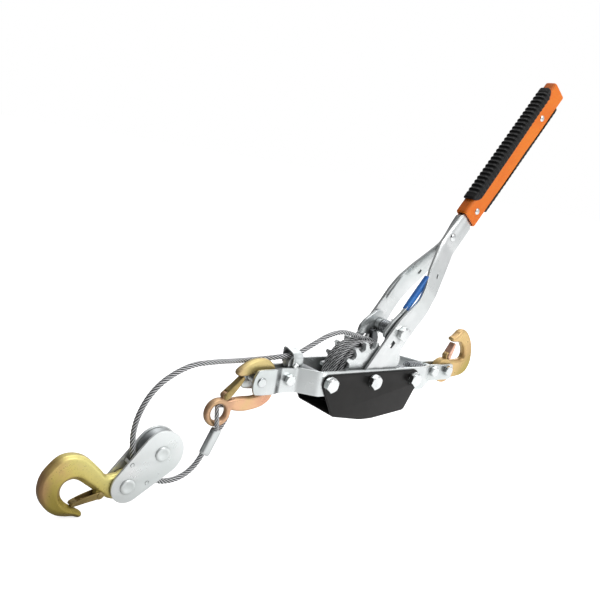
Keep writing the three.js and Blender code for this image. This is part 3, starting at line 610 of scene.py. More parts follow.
def bend(shape, line, sign, radius):
    """Maps a flat plate about y = 0 onto a bent mid line of (x, y), y times sign."""
    line_x, line_y = (np.array(line, float) * (1, sign)).T
    edit = bmesh.new()
    new_verts = [edit.verts.new(point) for point in shape[0]]
    for face in shape[1]:
        # a face repeated in the filled curve is refused and skipped
        try:
            edit.faces.new([new_verts[i] for i in face])
        except ValueError:
            pass
    for corner in line_x[1:-1]:
        for cut in np.linspace(corner - radius, corner + radius, 9):
            bmesh.ops.bisect_plane(edit, geom=edit.verts[:] + edit.edges[:] + edit.faces[:],
                                   plane_co=(cut, 0, 0), plane_no=(1, 0, 0), dist=1e-4)
    edit.verts.index_update()
    verts = np.array([v.co[:] for v in edit.verts])
    faces = [tuple(v.index for v in face.verts) for face in edit.faces]
    edit.free()

    offsets = np.linspace(-1, 1, 17)
    weights = 1 - np.abs(offsets) * 0.999

    def middle(x):
        return sum(np.interp(x + offset, line_x, line_y) * weight
                   for offset, weight in zip(offsets * radius * 0.72, weights)) / weights.sum()

    x, y = verts[:, 0], verts[:, 1]
    slope = (middle(x + 0.05) - middle(x - 0.05)) / 0.1
    length = np.sqrt(1 + slope * slope)
    return np.stack([x - y * slope / length, middle(x) + y / length, verts[:, 2]], 1), faces


# --------------------------------------------------- implicit solids on a grid
def surface(field, low, high, step):
    """Closed mesh of field(x, y, z) < 0 on a grid (surface nets)."""
    low = np.array(low, float) - 2.5 * step
    high = np.array(high, float) + 2.5 * step
    count = np.ceil((high - low) / step).astype(int) + 1
    x, y, z = (low[i] + step * np.arange(count[i]) for i in range(3))
    values = field(x[:, None, None], y[None, :, None], z[None, None, :])
    values = np.broadcast_to(values, tuple(count)).astype(np.float32)
    values[np.abs(values) < 1e-5] = 1e-5
    inside = values < 0
    cells = count - 1
    crossings = np.zeros(tuple(cells), np.float32)
    position = np.zeros(tuple(cells) + (3,), np.float32)

    def at_corner(corner):
        return values[tuple(slice(c, c + size) for c, size in zip(corner, cells))]

    for corner in product((0, 1), repeat=3):
        for axis in range(3):
            if corner[axis]:
                continue
            other = list(corner)
            other[axis] = 1
            here, there = at_corner(corner), at_corner(other)
            crossed = (here < 0) != (there < 0)
            share = np.where(crossed, here / np.where(crossed, here - there, 1), 0)
            crossings += crossed
            for k in range(3):
                position[..., k] += crossed * (corner[k] + (share if k == axis else 0))
    active = crossings > 0
    index = np.full(tuple(cells), -1, np.int64)
    where = np.argwhere(active)
    index[active] = np.arange(len(where))
    verts = low + step * (where + position[active] / crossings[active][:, None])
    faces = []
    for axis in range(3):
        second, third = (axis + 1) % 3, (axis + 2) % 3
        edges = np.argwhere(np.diff(inside, axis=axis))
        edges = edges[(edges[:, second] > 0) & (edges[:, third] > 0)
                      & (edges[:, second] < cells[second]) & (edges[:, third] < cells[third])]
        leaving = inside[tuple(edges.T)]
        corners = []
        for i, j in ((-1, -1), (0, -1), (0, 0), (-1, 0)):
            cell = edges.copy()
            cell[:, second] += i
            cell[:, third] += j
            corners.append(index[tuple(cell.T)])
        quads = np.stack(corners, 1)
        quads[~leaving] = quads[~leaving][:, ::-1]
        faces.append(quads)
    faces = np.concatenate(faces)
    return verts, faces[(faces >= 0).all(1)].tolist()


def spline(points, steps=8, closed=True):
    """Centripetal Catmull-Rom curve through the points."""
    points = np.array(points, float)
    padded = np.pad(points, ((1, 2 if closed else 1), (0, 0)),
                    mode="wrap" if closed else "edge")
    norm = np.linalg.norm
    curve = []
    for before, start, end, after in zip(padded, padded[1:], padded[2:], padded[3:]):
        gap0, gap1, gap2 = (max(norm(b - a) ** 0.5, 1e-4)
                            for a, b in ((before, start), (start, end), (end, after)))
        tangent0 = tangent1 = end - start
        if norm(start - before) > 1e-6:
            tangent0 = (end - start) + gap1 * (
                (start - before) / gap0 - (end - before) / (gap0 + gap1))
        if norm(after - end) > 1e-6:
            tangent1 = (end - start) + gap1 * (
                (after - end) / gap2 - (after - start) / (gap1 + gap2))
        for k in range(steps):
            t = k / steps
            curve.append((2 * t ** 3 - 3 * t ** 2 + 1) * start
                         + (t ** 3 - 2 * t ** 2 + t) * tangent0
                         + (-2 * t ** 3 + 3 * t ** 2) * end + (t ** 3 - t ** 2) * tangent1)
    if not closed:
        curve.append(points[-1])
    return np.array(curve)


def polygon_distance(x, z, outline):
    """Signed distance in xz to a closed polygon, negative inside."""
    x, z = x.reshape(-1, 1), z.reshape(1, -1)
    squared = np.full((x.shape[0], z.shape[1]), 1e9)
    inside = np.zeros(squared.shape, bool)
    for start, end in zip(outline, np.roll(outline, -1, axis=0)):
        edge = end - start
        from_x, from_z = x - start[0], z - start[1]
        t = np.clip((from_x * edge[0] + from_z * edge[1]) / max(edge @ edge, 1e-12), 0, 1)
        squared = np.minimum(squared,
                             (from_x - edge[0] * t) ** 2 + (from_z - edge[1] * t) ** 2)
        if abs(edge[1]) > 1e-12:
            spans = (start[1] > z) != (end[1] > z)
            inside ^= spans & (x < start[0] + (z - start[1]) / edge[1] * edge[0])
    distances = np.sqrt(squared)
    distances[inside] *= -1
    return distances[:, None, :]


def superellipse(u, v, power=2.3):
    return (u ** power + v ** power) ** (1 / power) - 1


def round_plate(outline_distance, y, half, edge):
    """Thick plate with elliptic edges: `edge` in the plane, `half` across."""
    inward = np.maximum((outline_distance + edge) / edge, 0)
    return superellipse(inward, np.abs(y) / half) * min(edge, half)


def round_corner(first, second, radius):
    """Where two distances, each already inset by the radius, meet in a round edge."""
    return (np.sqrt(np.maximum(first, 0) ** 2 + np.maximum(second, 0) ** 2)
            + np.minimum(np.maximum(first, second), 0) - radius)


def round_rect(across, up, half, low, high, radius):
    return round_corner(np.abs(across) - (half - radius),
                        np.abs(up - (low + high) / 2) - ((high - low) / 2 - radius), radius)


def box(point, center, half):
    return reduce(np.maximum, [np.abs(p - c) - h for p, c, h in zip(point, center, half)])


def distance(x, z, center):
    return np.sqrt((x - center[0]) ** 2 + (z - center[1]) ** 2)


def disc(x, y, z, center, radius, half):
    return np.maximum(distance(x, z, center) - radius, np.abs(y) - half)


def drilled(field, x, z, center, radius):
    return np.maximum(field, radius - distance(x, z, center))


def smin(a, b, blend):
    share = np.clip(0.5 + 0.5 * (b - a) / blend, 0, 1)
    return b * (1 - share) + a * share - blend * share * (1 - share)


def smax(a, b, blend):
    return -smin(-a, -b, blend)


# ------------------------------------------------------------- tubes and rope
def lengths_along(path):
    return np.r_[0, np.cumsum(np.linalg.norm(np.diff(path, axis=0), axis=1))]


def resample(points, step):
    """Evenly spaced points on a smooth curve through the given ones."""
    fine = spline(points, 24, closed=False)
    along = lengths_along(fine)
    count = max(2, int(round(along[-1] / step)) + 1)
    even = np.linspace(0, along[-1], count)
    return np.stack([np.interp(even, along, fine[:, i]) for i in range(3)], 1)


def cross_axes(path):
    """Two unit vectors across the path at each point, turning as little as they can."""
    tangents = np.gradient(path, axis=0)
    tangents /= np.linalg.norm(tangents, axis=1)[:, None]
    axis = np.cross(tangents[0], [0, 1, 0.01])
    axes = [axis / np.linalg.norm(axis)]
    for tangent in tangents[1:]:
        axis = axes[-1] - tangent * (axes[-1] @ tangent)
        axes.append(axis / np.linalg.norm(axis))
    return np.array(axes), np.cross(tangents, axes)


def tube(path, radius, sides, axes=None):
    first, second = axes or cross_axes(path)
    angle = np.linspace(0, TAU, sides, endpoint=False)[None, :, None]
    verts = path[:, None, :] + radius * (
        np.cos(angle) * first[:, None, :] + np.sin(angle) * second[:, None, :])
    faces = ring_faces(len(path), sides)
    last = (len(path) - 1) * sides
    faces += [tuple(range(sides))[::-1], tuple(range(last, last + sides))]
    return verts.reshape(-1, 3), faces


def rope_parts(path, radius, pitch, sides, phase):
    """A core and six strands laid round the path, with their UVs."""
    along = lengths_along(path)
    axes = cross_axes(path)
    strand = radius * 0.345
    lay = radius - strand
    tubes = [(path, lay * 0.66, 6)]
    for k in range(6):
        angle = TAU * along / pitch + phase + k * TAU / 6
        center = path + lay * (np.cos(angle)[:, None] * axes[0]
                               + np.sin(angle)[:, None] * axes[1])
        tubes.append((center, strand, sides))
    parts, uvs = [], []
    for center, thickness, around in tubes:
        verts, faces = tube(center, thickness, around, axes)
        parts.append((verts, faces))
        depth = np.linalg.norm(verts - np.repeat(path, around, axis=0), axis=1) / radius
        turn = np.tile(np.linspace(0, 1, around, endpoint=False), len(path))
        uvs.append(np.stack([np.repeat(along, around) * 0.42 + 7 * turn, depth], 1))
    return parts, np.concatenate(uvs)


def rope_piece(name, paths, *nodes, radius, pitch, sides=9, body=None):
    parts, uvs = [], []
    for i, path in enumerate(paths):
        strands, uv = rope_parts(path, radius, pitch, sides, phase=i * 0.7)
        parts += strands
        uvs.append(uv)
    return piece(name, parts, "rope", *nodes, body=body, uv=np.concatenate(uvs),
                 weld=False, sharp=80)


def helix(x, z, radius, y0, y1, turns, steps, start=0.0):
    share = np.arange(steps + 1) / steps
    angle = start + TAU * turns * share
    return np.stack([x + radius * np.cos(angle), y0 + (y1 - y0) * share,
                     z + radius * np.sin(angle)], 1)


COIL_STEPS = 22     # per turn of the pawl springs

# ================================================================ the frame
STRAP_HALF = 3.8 / 2
# mid line of a strap, (x, y)
STRAP_LINE = [(-180, 12), (-141.5, 12), (-134, 8.5), (-108, 8.5), (-86.5, 29.3),
              (101, 29.3), (134, 8.5), (194, 8.5)]
# rounded front end of a strap, (x, z)
STRAP_EAR = [(-150, 14), (-161, 14.2), (-168.6, 13.4), (-172.6, 6), (-174.0, -2),
             (-173, -10), (-170, -16.2), (-160, -17)]
strap_outline = (
    soft(STRAP_EAR, 2.6, 6, closed=False) + [(60, -16.8), (101, -17.6), (134.5, -18.6)]
    + arc(134.6, -16.4, 2.2, 270, 360, 5) + [(138.6, -14.6), (142, -14.5)]
    + arc(180, -9, 5.5, 270, 360, 10) + arc(181, 4, 4.5, 0, 90, 10)
    + [(137, 8.5), (101, 14), (-130, 14)])
through_holes = [circle(x, 0, LARGE_HOLE) for x in (-BOLT_X, 0, BOLT_X)]
strap_holes = through_holes + [
    circle(GUIDE_BOLT_X, 0, SMALL_HOLE), circle(*FRONT_PIN, 5.0),
    circle(INNER_TAIL_X, 0, SMALL_HOLE), circle(HOOK_TAIL_X, 0, SMALL_HOLE)]
for side, sign in SIDES:
    flat = plate(strap_outline, strap_holes, -STRAP_HALF, STRAP_HALF, bevel=0.7, steps=3)
    piece(f"strap_{side}", [bend(flat, STRAP_LINE, sign, radius=5.0)], "zinc_strap",
          f"{side}_frame_strap", sharp=28)

# gear guard: a trough of sheet, a solid less its inside; outlines are (x, z)
GUARD_HALF = 33.5
GUARD_SHEET = 2.0
GUARD_LOWER = [(88.0, -6), (69.3, -44.4), (10, -52), (-10, -52), (-60, -44.4), (-82.8, -6)]
GUARD_INSIDE = [(-150, 60), (150, 60), (150, -29.2), (69.3, -42.3), (10.2, -50),
                (-10.2, -50), (-60, -42.3), (-150, -29.2)]


def temporary_object(shape):
    mesh = bpy.data.meshes.new("t")
    mesh.from_pydata(np.asarray(shape[0]).tolist(), [], shape[1])
    edit = bmesh.new()
    edit.from_mesh(mesh)
    bmesh.ops.recalc_face_normals(edit, faces=edit.faces)
    edit.to_mesh(mesh)
    edit.free()
    item = bpy.data.objects.new("t", mesh)
    bpy.context.scene.collection.objects.link(item)
    return item


def guard_mesh():
    rim = arc(-73.6, 1.6, 9.2, 176, 90, 16) + arc(BOLT_X, 0, 12.4, 90, 4, 16)
    outer = rim + soft([rim[-1]] + GUARD_LOWER, 4.5, 5, closed=False)[1:]
    inside_half = GUARD_HALF - GUARD_SHEET
    solid = temporary_object(
        plate(outer, through_holes, -GUARD_HALF, GUARD_HALF, bevel=1.6, steps=5))
    cutter = temporary_object(
        plate(GUARD_INSIDE, [], -inside_half, inside_half, bevel=0.6, steps=2))
    cut = solid.modifiers.new("b", "BOOLEAN")
    cut.operation = "DIFFERENCE"
    cut.solver = "EXACT"
    cut.object = cutter
    evaluated = solid.evaluated_get(bpy.context.evaluated_depsgraph_get())
    mesh = bpy.data.meshes.new_from_object(evaluated)
    verts = np.array([v.co[:] for v in mesh.vertices])
    faces = [tuple(face.vertices) for face in mesh.polygons]
    for item in (solid, cutter):
        bpy.data.objects.remove(item)
    return verts, faces


piece("guard_trough", [guard_mesh()], "black", "gear_guard", sharp=25)

# through bolts with washers
for bolt_name, nut_name, x in (("front_through", "front_bolt", -BOLT_X),
                               ("drum_axle", "drum_axle", 0.0),
                               ("rear_pawl", "rear_bolt", BOLT_X)):
    parts = bolt(x, 0, LARGE_BOLT, head=(-35.3, -42.3), shank=(-36, 33.9, 45), turn=0.35)
    parts.insert(1, sleeve(x, 0, 4.9, 8.6, -35.35, -33.8, corner=0.35, sides=56))
    piece(f"{bolt_name}_hex", parts, "zinc_bright", f"{bolt_name}_bolt", sharp=32)
    piece(f"{nut_name}_nut_hex",
          [hexagon(x, 0, LARGE_BOLT[0], 35.35, 43, bore=5.35, turn=0.2),
           sleeve(x, 0, 5.3, 9.2, 33.8, 35.3, corner=0.35, sides=56)],
          "zinc_bright", f"{nut_name}_nut", sharp=32)
piece("front_spacer_tube", [sleeve(-BOLT_X, 0, 5.5, 8, -27.1, 27.1, corner=0.5, sides=40)],
      "zinc_dull", "front_spacer_sleeve", sharp=32)

# rope guide hoop: a bent band with a flared front edge, its foot between the straps
HOOP_X = -110
HOOP_LEG_X = -103.2
ROLLER_PIN = (-112.6, 17)


def hoop_field(x, y, z):
    flare = np.clip((HOOP_X - x) / 8.0, 0, 1) ** 2 * 1.5
    slope = (y + 10.4) / 20.8
    top = 28.6 + 6.4 * np.maximum(slope, 0) ** 0.6
    outside = round_rect(y, z, 10.3 + flare, 14.6, top + flare, 5.0)
    inside = round_rect(y, z, 8.4 + flare, 12.0, top - 1.7 + flare, 3.4)
    gap = box((y, z), (0, 13), (6.4, 3.0))
    ring = smax(smax(outside, -inside, 0.5), np.abs(x - HOOP_X) - 8.0, 0.5)
    leg = box((x, y, z), (HOOP_LEG_X, 0, 4.7), (1.2, 6.2, 11.7))
    shoulder = box((x, y, z), (HOOP_LEG_X, 0, 15.4), (1.2, 8.5, 1.0))
    foot = box((x, y, z), (-114, 0, 0.6), (12, 6.2, 7.6))
    field = smin(smin(np.maximum(ring, -gap), np.minimum(leg, shoulder), 0.8), foot, 0.8)
    field = drilled(field, x, z, (GUIDE_BOLT_X, 0), SMALL_HOLE)
    return drilled(field, x, z, ROLLER_PIN, 2.8)


# lathe profiles, (radius, y)
ROLLER_PIN_HALF = [(0, -12.3), (3.2, -12.1), (4.1, -11.2), (4.1, -10.6), (2.5, -10.6)]
ROLLER_HALF = [(2.85, -6), (8, -6), (8, -4.7), (6.2, -3.0), (5.6, -1.2)]
FRONT_PIN_HALF = [(0, -15.5), (4.4, -15.4), (5.4, -15.15), (6.0, -14.6), (6.1, -14.0),
                  (4.6, -13.9)]
piece("rope_guide_hoop", [surface(hoop_field, (-127, -12.5, -8), (-101, 12.5, 38.5), 0.5)],
      "zinc", "cable_guide_hoop", sharp=60)
piece("roller_pin",
      [lathe(*ROLLER_PIN, soft(mirrored(ROLLER_PIN_HALF), 0.3, closed=False), 36)],
      "zinc_bright", "guide_roller_pin")
piece("guide_roller_wheel",
      [lathe(*ROLLER_PIN, soft(mirrored(ROLLER_HALF), 0.4), 48, closed=True)],
      "zinc_block", "guide_roller")
piece("guide_bolt_hex",
      bolt(GUIDE_BOLT_X, 0, SMALL_BOLT, head=(-10.7, -16.2), shank=(-11, 10.5, 17.5), turn=0.3)
      + [hexagon(GUIDE_BOLT_X, 0, SMALL_BOLT[0], 10.7, 16.6, bore=3.9, turn=0.1)],
      "zinc_bright", "guide_bolt", sharp=32)
piece("front_pin_rivet",
      [lathe(*FRONT_PIN, soft(mirrored(FRONT_PIN_HALF), 0.2, closed=False), 48)],
      "zinc_bright", "front_hook_pin")
for place, x in (("inner", INNER_TAIL_X), ("hook", HOOK_TAIL_X)):
    piece(f"{place}_tail_bolt_hex",
          bolt(x, 0, SMALL_BOLT, head=(-10.6, -16.2), shank=(-11, 10.2, 19.5), turn=0.25),
          "zinc_bright", f"{place}_tail_bolt", sharp=32)
    piece(f"{place}_tail_nut_hex",
          [hexagon(x, 0, SMALL_BOLT[0], 10.7, 17.2, bore=4.3, turn=0.4)],
          "zinc_bright", f"{place}_tail_nut", sharp=32)
piece("tail_spacer_tube",
      [sleeve(INNER_TAIL_X, 0, SMALL_HOLE, 6.5, -6.3, 6.3, corner=0.4, sides=40)],
      "zinc", "tail_spacer_sleeve")

# ===================================================================== drum
TEETH = 16
TOOTH_STEP = 360 / TEETH
WHEEL_RADIUS = 47.5
NOTCH_CENTER = 43       # distance of the round notches from the axle
NOTCH_RADIUS = 5.2
wheel = []
for k in range(TEETH):
    angle = TOOTH_STEP * k
    tip = angle - TOOTH_STEP / 2
    wheel += arc(0, 0, WHEEL_RADIUS, tip - 1.6, tip + 3.4, 3)
    wheel += arc(NOTCH_CENTER * math.cos(math.radians(angle)),
                 NOTCH_CENTER * math.sin(math.radians(angle)),
                 NOTCH_RADIUS, angle - 108, angle - 252, 12)
# the far wheel's tooth tips are a little shorter
far_wheel = [(x * 0.978, z * 0.978) if math.hypot(x, z) > 47.4 else (x, z) for x, z in wheel]
for side, outline, y0, y1 in (("near", wheel, -21.5, -15.5), ("far", far_wheel, 15.5, 21.5)):
    piece(f"{side}_ratchet",
          [plate(outline, [circle(0, 0, LARGE_HOLE)], y0, y1, bevel=0.45, steps=2)],
          "zinc", f"{side}_ratchet_wheel", sharp=28)
piece("drum_hub", [sleeve(0, 0, 5.5, 20, -15.2, 15.2, corner=0.5, sides=64)],
      "zinc_dull", "drum_core")


def on_drum(radius, y, angle):
    return (radius * math.cos(angle), y, radius * math.sin(angle))


def winding(radius, y0, y1, turn0, turn1, bulge=0.0):
    """A layer of rope; bulge lifts it on one side of the drum."""
    turns = turn1 - turn0
    count = int(turns * TAU * radius / 1.6)
    path = []
    for i in range(count):
        turn = turn0 + turns * (i / count)
        # most of each wrap's side step happens on a short arc, where it crosses the one below
        whole = math.floor(turn)
        part = turn - whole
        part = part * 0.45 + 0.55 * min(1, max(0, (part - 0.55) / 0.3))
        y = y0 + (y1 - y0) * ((whole + part) - turn0) / turns
        angle = TAU * turn
        lift = bulge * max(0.0, math.cos(angle - 3.5)) ** 0.7
        path.append(on_drum(radius + lift, y, angle))
    return np.array(path)


layers = [winding(42.9, 12.3, -12.3, -0.1, 4.3, bulge=3.5),
          winding(37.6, -12.3, 12.3, 0.0, 4.3, bulge=2.4)]
layers += [winding(32.0, 12.0, -12.0, 0.0, 4.0), winding(26.4, -12.0, 12.0, 0.0, 4.0)]
last_wrap = [on_drum(43.4 + 3.2 * min(1, u * 1.5), -6.5 + 6.5 * u,
                     math.radians(-58 + 143 * u)) for u in np.arange(70) / 69]
crossing = [on_drum(42.9 + 3.4 * math.sin(math.pi * min(1, u * 1.25)) ** 0.7,
                    12 - 21.5 * u, math.radians(64 + 200 * u)) for u in np.arange(110) / 109]
rope_piece("drum_windings", layers + [np.array(last_wrap), np.array(crossing)],
           "wound_cable", radius=3.1, pitch=38.0, sides=6)

# ==================================================================== handle
# x runs along the handle and z across it
PAWL_PIVOT = (74.7, -1.2)
ARM_RIVET = (231, 0)
GRIP_RIVETS = (("lower", 283), ("upper", 458))      # (place, x)
GRIP_RIVET_Z = -5
ARM_LINE = [(-30, 25), (125, 25), (147, 22.8), (215, 3.2), (485, 3.2)]     # (x, y)
# arm outlines, (x, z)
ARM_FOOT = [(71, -18), (58, -18.8), (53, -22), (47.5, -28.4), (38, -30.6), (26, -25),
            (14, -17)]
NEAR_LOWER = [(92, -18), (116, -19.6), (132, -18.6), (147, -18), (200, -18.6), (261, -18.4)]
NEAR_TIP = [(264.5, -15), (475, -13), (475, 7), (264.5, 9)]
NEAR_UPPER = [(261, 12.0), (217, 11), (184, 11.6), (165, 11.6), (150, 10.8), (138, 8.4),
              (124, 6.8), (112, 8.4), (100, 10.8), (84, 14.2), (66, 15.2), (40, 15.4)]
FAR_LOWER = [(80, -18), (93, -16.4), (109, -14.6), (130, -15), (147, -16), (187, -15),
             (230, -15), (261, -16)]
FAR_TIP = [(264.5, -13.5), (475, -13), (475, 7), (264.5, 8)]
FAR_UPPER = [(261, 10.5), (222, 6.6), (186, 9.2), (160, 12.4), (147, 14.4), (127, 15.0),
             (100, 14.4), (66, 14.6), (40, 15.2)]
ARM_EDGES = {"near": (NEAR_LOWER, NEAR_TIP, NEAR_UPPER), "far": (FAR_LOWER, FAR_TIP, FAR_UPPER)}
SLOT = [(50.0, -1.4), (59.4, -1.4), (59.4, 4.0), (50.0, 4.0)]
FLANGE = [(106, 21.4), (112, 25.5), (143, 24.3), (148, 21.4)]              # (x, y)
ARM_CURL = {"near": 1, "far": 0.9}
oblong = arc(171.2, -4.6, 1.7, -90, 90, 8) + arc(167.8, -5.0, 1.7, 90, 270, 8)
arm_holes = [circle(0, 0, LARGE_HOLE), circle(*PAWL_PIVOT, LARGE_HOLE), circle(*ARM_RIVET, 4.3)]
arm_holes += [circle(x, GRIP_RIVET_Z, 3.2) for _, x in GRIP_RIVETS]
arm_holes += [soft(SLOT, 0.8, 3), oblong]
for side, sign in SIDES:
    lower, tip, upper = ARM_EDGES[side]
    outline = (arc(0, 0, 15.6, 92, 270, 36) + soft(ARM_FOOT, 3.0, 4, closed=False)[::-1]
               + spline(lower, 5, closed=False).tolist() + tip
               + spline(upper, 5, closed=False).tolist())
    verts, faces = bend(plate(outline, arm_holes, -2, 2, bevel=0.7, steps=3),
                        ARM_LINE, sign, radius=7.0)
    # the upper edge is rolled a little toward +y over the bent length
    x, z = verts[:, 0], verts[:, 2]
    run = np.clip((x - 150) / 18, 0, 1) * np.clip((262 - x) / 20, 0, 1)
    verts[:, 1] += 2.3 * run * np.clip((z - 2.5) / 8.0, 0, 1) ** 2 * ARM_CURL[side]
    parts = [(verts, faces)]
    if side == "far":
        # flange along the straight upper edge
        flat, flange_faces = plate(FLANGE, [], 12.6, 15.6, bevel=0.6, steps=3)
        lying = np.stack([flat[:, 0], flat[:, 2] - 4.6, flat[:, 1] - 0.3], 1)
        parts.append((lying, flange_faces))
    piece(f"{side}_arm", parts, "zinc_arm", f"{side}_handle_arm", handle=True, sharp=28)
ARM_RIVET_HALF = [(0, -7.2), (2.2, -7.1), (4.0, -6.6), (5.2, -5.9), (5.6, -5.35), (4.0, -5.2)]
piece("arm_joint_rivet", [lathe(*ARM_RIVET, mirrored(ARM_RIVET_HALF), 40)],
      "zinc_bright", "arm_rivet", handle=True)

RIB_PITCH = 7.2


def ribs(x, start):
    return 0.5 + 0.5 * np.cos((x - start) * TAU / RIB_PITCH)


def shell_field(x, y, z):
    """Grip shell, hollow inside."""
    outside = round_rect(y, z, 9.4, -19.7, 13.1, 4.6)
    ends = np.maximum(266 - x, x - 512.0 + 0.04 * (z + 19.7))
    outside = smax(outside, ends, 2.8)
    inside = np.maximum(round_rect(y, z, 6.9, -17.2, 10.6, 3.0), x - 500)
    field = smax(outside, -inside, 0.6)
    for _, rivet_x in GRIP_RIVETS:
        field = drilled(field, x, z, (rivet_x, GRIP_RIVET_Z), 3.3)
    return field


def upper_rubber_field(x, y, z):
    """Ribbed cap over the shell, its lower edge rising at both ends."""
    field = round_rect(y, z, 10.55, -12, 17.6, 6.4)
    from_end = np.minimum(x - 287, 497 - x)
    edge = (3.3 + 2.6 * np.clip((x - 305) / 165, 0, 1)
            + 11.5 * np.clip(1 - from_end / 15.0, 0, 1) ** 2)
    field = smax(field, edge - z, 1.2)
    field = smax(field, np.maximum(288 - x, x - 497), 2.5)
    ribbed = np.clip(np.minimum(x - 296, 489 - x) / 4.0, 0, 1)
    above = np.clip((z - 5.0) / 3.0, 0, 1)
    field = field - 1.3 * (ribs(x, 290) ** 1.6 - 0.55) * ribbed * above
    return smax(field, -round_rect(y, z, 7.9, -30, 11.6, 3.4), 0.3)


def lower_rubber_field(x, y, z):
    """Ribbed strip under the shell, its upper edge in long waves."""
    field = round_rect(y, z, 9.95, -22.3, -4, 3.4)
    wave = 0.5 + 0.5 * np.cos((x - 402) * TAU / 96)
    field = smax(field, np.maximum(293 - x, x - 492), 5.0) + 0.35 * ribs(x, 300)
    inside = round_rect(y, z, 8.2, -18.6, 6, 3.0)
    return np.maximum(np.maximum(field, z + 18.6 - 2.3 * wave), -inside)


piece("grip_cover", [surface(shell_field, (266, -9.6, -20), (513.4, 9.6, 13.4), 0.75)],
      "orange", "grip_shell", handle=True, sharp=50)
piece("grip_rubber_upper", [surface(upper_rubber_field, (287, -12, 1), (498, 12, 19), 0.7)],
      "rubber", "grip_rubber_top", handle=True, sharp=50)
piece("grip_rubber_lower",
      [surface(lower_rubber_field, (292, -10.2, -22.6), (493, 10.2, -15.8), 0.6)],
      "rubber", "grip_rubber_bottom", handle=True, sharp=50)
GRIP_RIVET_HALF = [(0, -11.0), (2.0, -10.9), (3.5, -10.5), (4.4, -9.8), (4.5, -9.5), (3, -9.4)]
for place, x in GRIP_RIVETS:
    piece(f"{place}_grip_rivet_head", [lathe(x, GRIP_RIVET_Z, mirrored(GRIP_RIVET_HALF), 40)],
          "zinc_bright", f"{place}_grip_rivet", handle=True)

# drive pawl, its pivot and its lever
piece("pivot_hex",
      bolt(*PAWL_PIVOT, LARGE_BOLT, head=(-27.3, -34.2), shank=(-28, 27.2, 36.5), turn=0.6),
      "zinc_bright", "pawl_pivot_bolt", handle=True, sharp=32)
piece("pivot_nut_hex", [hexagon(*PAWL_PIVOT, LARGE_BOLT[0], 27.3, 35, bore=5.35, turn=0.1)],
      "zinc_bright", "pawl_pivot_nut", handle=True, sharp=32)
# pawl outlines beyond the round about the pivot, (x, z)
NEAR_PAWL = [(92, 2.6), (106, 6.4), (124, 7.0), (124, 11.6), (106, 12.4), (94, 13.8),
             (76, 18.2), (60, 19.4), (55.8, 14.2), (56.6, 9.0), (49.6, 6.6), (48.8, 1.6),
             (58, -6)]
FAR_PAWL = [(88, 0), (91.6, 6), (89.6, 12), (84, 17.2), (66, 24.0), (55.6, 25.4),
            (47.6, 22.4), (45.6, 18.0), (51.5, 10.5), (56, 2), (60, -5)]
TONGUE = [(59.0, 9.6), (64.6, 5.6), (60, -5.5), (51.4, -13.2), (48.4, -9.4), (50.4, 1.4)]
# (radius, y)
PAWL_SLEEVE = [(5.5, -15.5), (9.6, -15.5), (9.6, -8.4), (7.4, -8.2), (7.4, 8.2), (9.6, 8.4),
               (9.6, 16.0), (5.5, 16.0)]
PAWL_BORE = 5.5
near_pawl = soft(arc(*PAWL_PIVOT, 10.8, -140, -20, 10) + NEAR_PAWL, 1.4, 4)
far_pawl = soft(arc(*PAWL_PIVOT, 10.8, -140, -30, 10) + FAR_PAWL, 1.6, 4)
pawl_hole = [circle(*PAWL_PIVOT, PAWL_BORE)]
piece("drive_pawl_plates",
      [plate(near_pawl, pawl_hole, -20.8, -15.9, bevel=0.6, steps=2),
       plate(far_pawl, pawl_hole, 16.2, 20.6, bevel=0.6, steps=2),
       lathe(*PAWL_PIVOT, soft(PAWL_SLEEVE, 0.5), 48, closed=True)],
      "zinc", "drive_pawl", handle=True, sharp=30)
# a near-black plate beside the far pawl plate, standing in for painted shade on the pawl's shaded
# face
piece("drive_pawl_tongue", [plate(soft(TONGUE, 1.2, 4), [], 8.6, 15.2, bevel=0.8, steps=3)],
      "shade_dark", body="drive_pawl", handle=True, sharp=30)


def lever_field(x, y, z):
    half = 4.3 - 0.5 * np.clip((118 - x) / 16, 0, 1)
    field = round_rect(y + 17.4, z - 9.3, 3.7, -half, half, 2.6)
    return smax(field, np.maximum(103 - x, x - 158), 1.4)


piece("lever_dip", [surface(lever_field, (102, -21.6, 4.4), (159, -13.2, 14.2), 0.4)],
      "blue", "pawl_lever_grip", handle=True, sharp=60)
drive_coil = helix(*PAWL_PIVOT, 9.0, -7, 7, turns=5, steps=5 * COIL_STEPS)
pivot_x = PAWL_PIVOT[0]
drive_coil = np.concatenate([[(pivot_x + 9.2, -7.6, 9.0)], drive_coil,
                             [(pivot_x + 9, 7.6, -10)]])
piece("drive_spring_coil", [tube(drive_coil, 0.95, 10)],
      "spring", "drive_pawl_spring", handle=True, sharp=70)

# holding pawl on the rear bolt, with a coil about the bolt and a spring running rearward
hold_round = arc(BOLT_X, 0, 10, -110, 160, 36)
hold_nose = hold_round[-2:] + [(57, -9), (42.6, -23), (45.6, -28.5), (58, -22)]
hold = hold_round[:-1] + soft(hold_nose, 1.2, 4, closed=False)[1:]
hold_hole = [circle(BOLT_X, 0, PAWL_BORE)]
piece("holding_pawl_plates",
      [plate(hold, hold_hole, -20.8, -16.2, bevel=0.5, steps=2),
       plate(hold, hold_hole, 16.2, 20.8, bevel=0.5, steps=2),
       sleeve(BOLT_X, 0, PAWL_BORE, 7.4, -26.9, 26.9, corner=0.4, sides=48)],
      "zinc_dull", "holding_pawl", sharp=30)
share = np.arange(150) / 149
angle = TAU * 7.5 * share
pull = np.stack([97.5 + 27 * share, 6.2 * np.cos(angle),
                 5.0 - 1.5 * share + 6.2 * np.sin(angle)], 1)
pull = np.concatenate([[(92, 2, 2)], pull, [(128, 1.5, -1), (134.5, 0, 1.0), (136, 0, 6.6)]])
